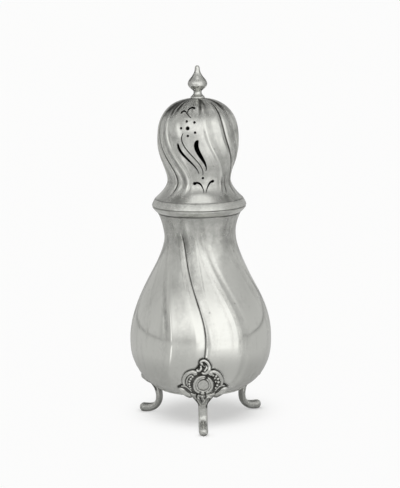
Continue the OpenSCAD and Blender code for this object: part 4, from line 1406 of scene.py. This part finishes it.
class CASTER_OT_stage(bpy.types.Operator):
    """Lays the floor, lights the stage and sets up the camera"""
    bl_idname = "caster.stage"
    bl_label = "Stage"

    # the camera: width of its sensor in millimetres, how far it sees in metres, and how far it looks aside
    SENSOR, SIGHT, ASIDE = 36, 1000, math.radians(0.01)
    # how far the floor and the card reach in metres, and the colour of the light
    REACH, TONE = 400, (1.0, 1.0, 0.985)
    # levels that the silver mirrors: the room low and high, the screen, the slim lamp and a patch overhead
    ROOM, ROOM_HIGH, SCREEN, LAMP, PATCH = 0.49, 0.36, 1.02, 1.0, 0.8
    # levels of the card: under the object, round it, in front near, left and right, and at the slim lamp
    CARD_UNDER, CARD_ROUND, CARD_NEAR, CARD_LEFT, CARD_RIGHT, CARD_LAMP = 0.34, 0.48, 0.45, 0.6, 1.0, 1.05
    # the slim lamp: how far left it stands, how far it leans, and how far left the card shows it, in radians
    LAMP_LEFT, LAMP_LEAN, LAMP_ON_CARD = 0.89, 0.52, 0.76
    # light on the floor: from all sides, from overhead and from in front
    EVEN, OVERHEAD, FORE = 0.42, 1.1, 5.6

    def execute(self, context):
        scene = context.scene
        stage = scene.caster_stage
        self.camera(scene, stage)
        self.ground(stage, scene.caster_foot.toe_reach)
        self.light(scene)
        scene.view_settings.view_transform = "Standard"
        return {"FINISHED"}

    def camera(self, scene, stage):
        data = bpy.data.cameras.new("camera")
        data.sensor_width, data.lens, data.clip_end = self.SENSOR, stage.lens, self.SIGHT
        camera = new_object("camera", data)
        yaw = Matrix.Rotation(stage.turn - self.ASIDE, 4, "Z")
        look = Matrix.Rotation(math.pi / 2 - stage.pitch, 4, "X")
        lean = Matrix.Rotation(-stage.roll, 4, "Z")
        x, y = stage.distance * math.sin(stage.turn), -stage.distance * math.cos(stage.turn)
        camera.matrix_world = Matrix.Translation((x, y, stage.height)) @ yaw @ look @ lean
        scene.camera = camera

    def ground(self, stage, toe_reach):
        """White paper with a glow that is weaker under the object and weakest round the toes."""
        reach = np.geomspace(0.5, self.REACH, 14)
        steps = np.concatenate([-reach[::-1], [0], reach])
        points = np.array([[(x, y, 0.0) for x in steps] for y in steps])
        material, board, shader, end = new_material("paper")
        shader.inputs["Roughness"].default_value = 1
        shader.inputs["Specular IOR Level"].default_value = 0
        place = board.add("ShaderNodeTexCoord", out="Object")
        fibre = board.noise(place, 400, 2)
        board.link(board.blend(fibre * 0.02, stage.floor, (0.9, 0.9, 0.9)), shader, "Base Color")
        path = board.add("ShaderNodeLightPath", out="Is Camera Ray")
        seen = bound(path + path.part("Is Glossy Ray") + path.part("Is Transmission Ray"))
        white = board.add("ShaderNodeEmission", sockets={"Color": (*stage.floor, 1)})
        spot = board.split(place)

        def apart(over, back):
            x, y = spot - over, spot.part("Y") - back
            return root(x * x + y * y)

        right, back, full, fade = 3 * MM, 14 * MM, 14, 38
        glow = mix(stage.glow, stage.clear, past(apart(right, back), full, fade))
        toe_shadow, toe_depth = 7 * MM, 0.7
        for k in range(FLUTES):
            toe = apart(toe_reach * math.sin(k * STEP), -toe_reach * math.cos(k * STEP))
            glow = glow * (1 - toe_depth * smooth(1 - toe / toe_shadow))
        both = board.add("ShaderNodeMixShader", sockets={
            0: glow * seen, 1: Wire(board, shader.outputs[0]), 2: white})
        board.link(both, end, "Surface")
        floor = new_object("floor", from_points("floor", *rings(points, closed=False), material))

    def light(self, scene):
        """A grey room with a screen and a slim lamp that the silver mirrors; the floor is lit evenly."""
        world = bpy.data.worlds.new("studio")
        world.use_nodes = True
        scene.world = world
        board = Board(world.node_tree)
        way = board.split(board.add("ShaderNodeTexCoord", out="Generated"))
        turn = arctangent(way, -way.part("Y"))
        up = arcsine(way.part("Z"))
        foot = mix(-0.05, -0.35, ramp_up(turn, -0.45, 0.6))
        screen = self.screen(turn) * ramp_up(up, foot, 0.45) * ramp_down(up, 1.15, 0.75)
        behind = ramp_up(size_of(turn), 1.4, 1.2) * ramp_up(up, 0.05, 0.5)
        gap = ramp_up(turn, -1.5, 0.2) * ramp_down(turn, -0.85, 0.25)
        room = mix(self.ROOM, self.ROOM_HIGH, ramp_up(up, 0.6, 0.6)) - 0.2 * behind
        lamp = self.strip(turn + self.LAMP_LEAN * up + self.LAMP_LEFT)
        level = mix(room * (1 - 0.15 * gap), self.SCREEN, screen)
        level = mix(level, self.LAMP, lamp * ramp_up(up, -0.1, 0.1) * ramp_down(up, 0.62, 0.3))
        level = mix(level, self.PATCH, ramp_up(up, 1.1, 0.25))
        fore = ramp_down(size_of(turn), 1.0, 0.8) * smooth(1 - size_of(up - 1.0) / 0.45)
        floor = self.EVEN + self.OVERHEAD * ramp_up(way.part("Z"), 0.88, 0.1) + self.FORE * fore
        diffuse = board.add("ShaderNodeLightPath", out="Is Diffuse Ray")
        tone = self.toned(board, mix(level, floor, diffuse))
        board.link(tone, world.node_tree.nodes["Background"], "Color")
        self.card()

    def toned(self, board, level):
        return board.add("ShaderNodeVectorMath", {"operation": "SCALE"}, {0: self.TONE, "Scale": level})

    @staticmethod
    def screen(turn):
        """How much of the white screen in front stands in a direction."""
        return ramp_up(turn, -1.25, 0.85) * ramp_down(turn, 1.42, 0.7)

    @staticmethod
    def strip(aside):
        """How much of the slim lamp on the left, which draws a line along a ridge, stands in a direction."""
        return close_to(size_of(aside), 0.06, 0.08)

    def card(self):
        """A grey card laid round the object that only the silver sees."""
        reach = np.concatenate([[0], np.geomspace(0.01, self.REACH, 64)])
        turns = np.linspace(0, 2 * math.pi, 96, endpoint=False)
        points = np.array([polar(r, turns, 0.2 * MM) for r in reach])
        material, board, _, end = new_material("grey_card")
        spot = board.split(board.add("ShaderNodeTexCoord", out="Object"))
        x, y = spot, spot.part("Y")
        far = root(x * x + y * y)
        turn = arctangent(x, -y)
        darker = 0.22 * ramp_up(far, 1.2, 0.5) + 0.32 * ramp_up(far, 3, 1.4)
        side = mix(self.CARD_UNDER, self.CARD_ROUND, ramp_up(far, 0.03, 0.15)) * (1 - darker)
        front = mix(self.CARD_LEFT, self.CARD_RIGHT, ramp_up(turn, -0.4, 0.9))
        level = mix(side, mix(self.CARD_NEAR, front, ramp_up(far, 0.06, 0.3)), self.screen(turn))
        lamp = self.strip(turn + self.LAMP_ON_CARD) * ramp_up(far, 0.08, 0.12) * ramp_down(far, 0.6, 0.2)
        tone = self.toned(board, mix(level, self.CARD_LAMP, lamp))
        board.link(board.add("ShaderNodeEmission", sockets={"Color": tone}), end, "Surface")
        card = new_object("grey_card", from_points("grey_card", *rings(points), material))
        card.visible_camera = card.visible_diffuse = card.visible_shadow = False


class CASTER_PT_panel(bpy.types.Panel):
    """Sizes, finishes and stage of the sugar caster"""
    bl_idname = "CASTER_PT_panel"
    bl_label = "Sugar caster"
    bl_space_type = "VIEW_3D"
    bl_region_type = "UI"
    bl_category = "Caster"

    def draw(self, context):
        for label, key, operators in SECTIONS:
            box = self.layout.box()
            box.label(text=label)
            group = getattr(context.scene, key)
            for prop in group.bl_rna.properties:
                if prop.type == "FLOAT":
                    box.prop(group, prop.identifier)
            for operator in operators:
                box.operator(operator)


SECTIONS = [
    ("Body", "caster_body", ["caster.body", "caster.turned"]),
    ("Flutes", "caster_flutes", []),
    ("Cover", "caster_cover", ["caster.dome", "caster.finial"]),
    ("Feet", "caster_foot", ["caster.feet"]),
    ("Finish", "caster_finish", []),
    ("Stage", "caster_stage", ["caster.stage"])]
GROUPS = {
    "caster_body": CasterBody, "caster_flutes": CasterFlutes, "caster_cover": CasterCover,
    "caster_foot": CasterFoot, "caster_finish": CasterFinish, "caster_stage": CasterStage}
CLASSES = [
    *GROUPS.values(), CASTER_OT_feet, CASTER_OT_body, CASTER_OT_dome, CASTER_OT_turned, CASTER_OT_finial,
    CASTER_OT_stage, CASTER_PT_panel]


def register():
    for cls in CLASSES:
        bpy.utils.register_class(cls)
    for key, group in GROUPS.items():
        setattr(bpy.types.Scene, key, bpy.props.PointerProperty(type=group))


def unregister():
    for key in GROUPS:
        delattr(bpy.types.Scene, key)
    for cls in reversed(CLASSES):
        bpy.utils.unregister_class(cls)


def main():
    register()
    bpy.ops.caster.stage()
    bpy.ops.caster.feet()
    bpy.ops.caster.body()
    bpy.ops.caster.dome()
    bpy.ops.caster.turned()
    bpy.ops.caster.finial()


if __name__ == "__main__":
    main()
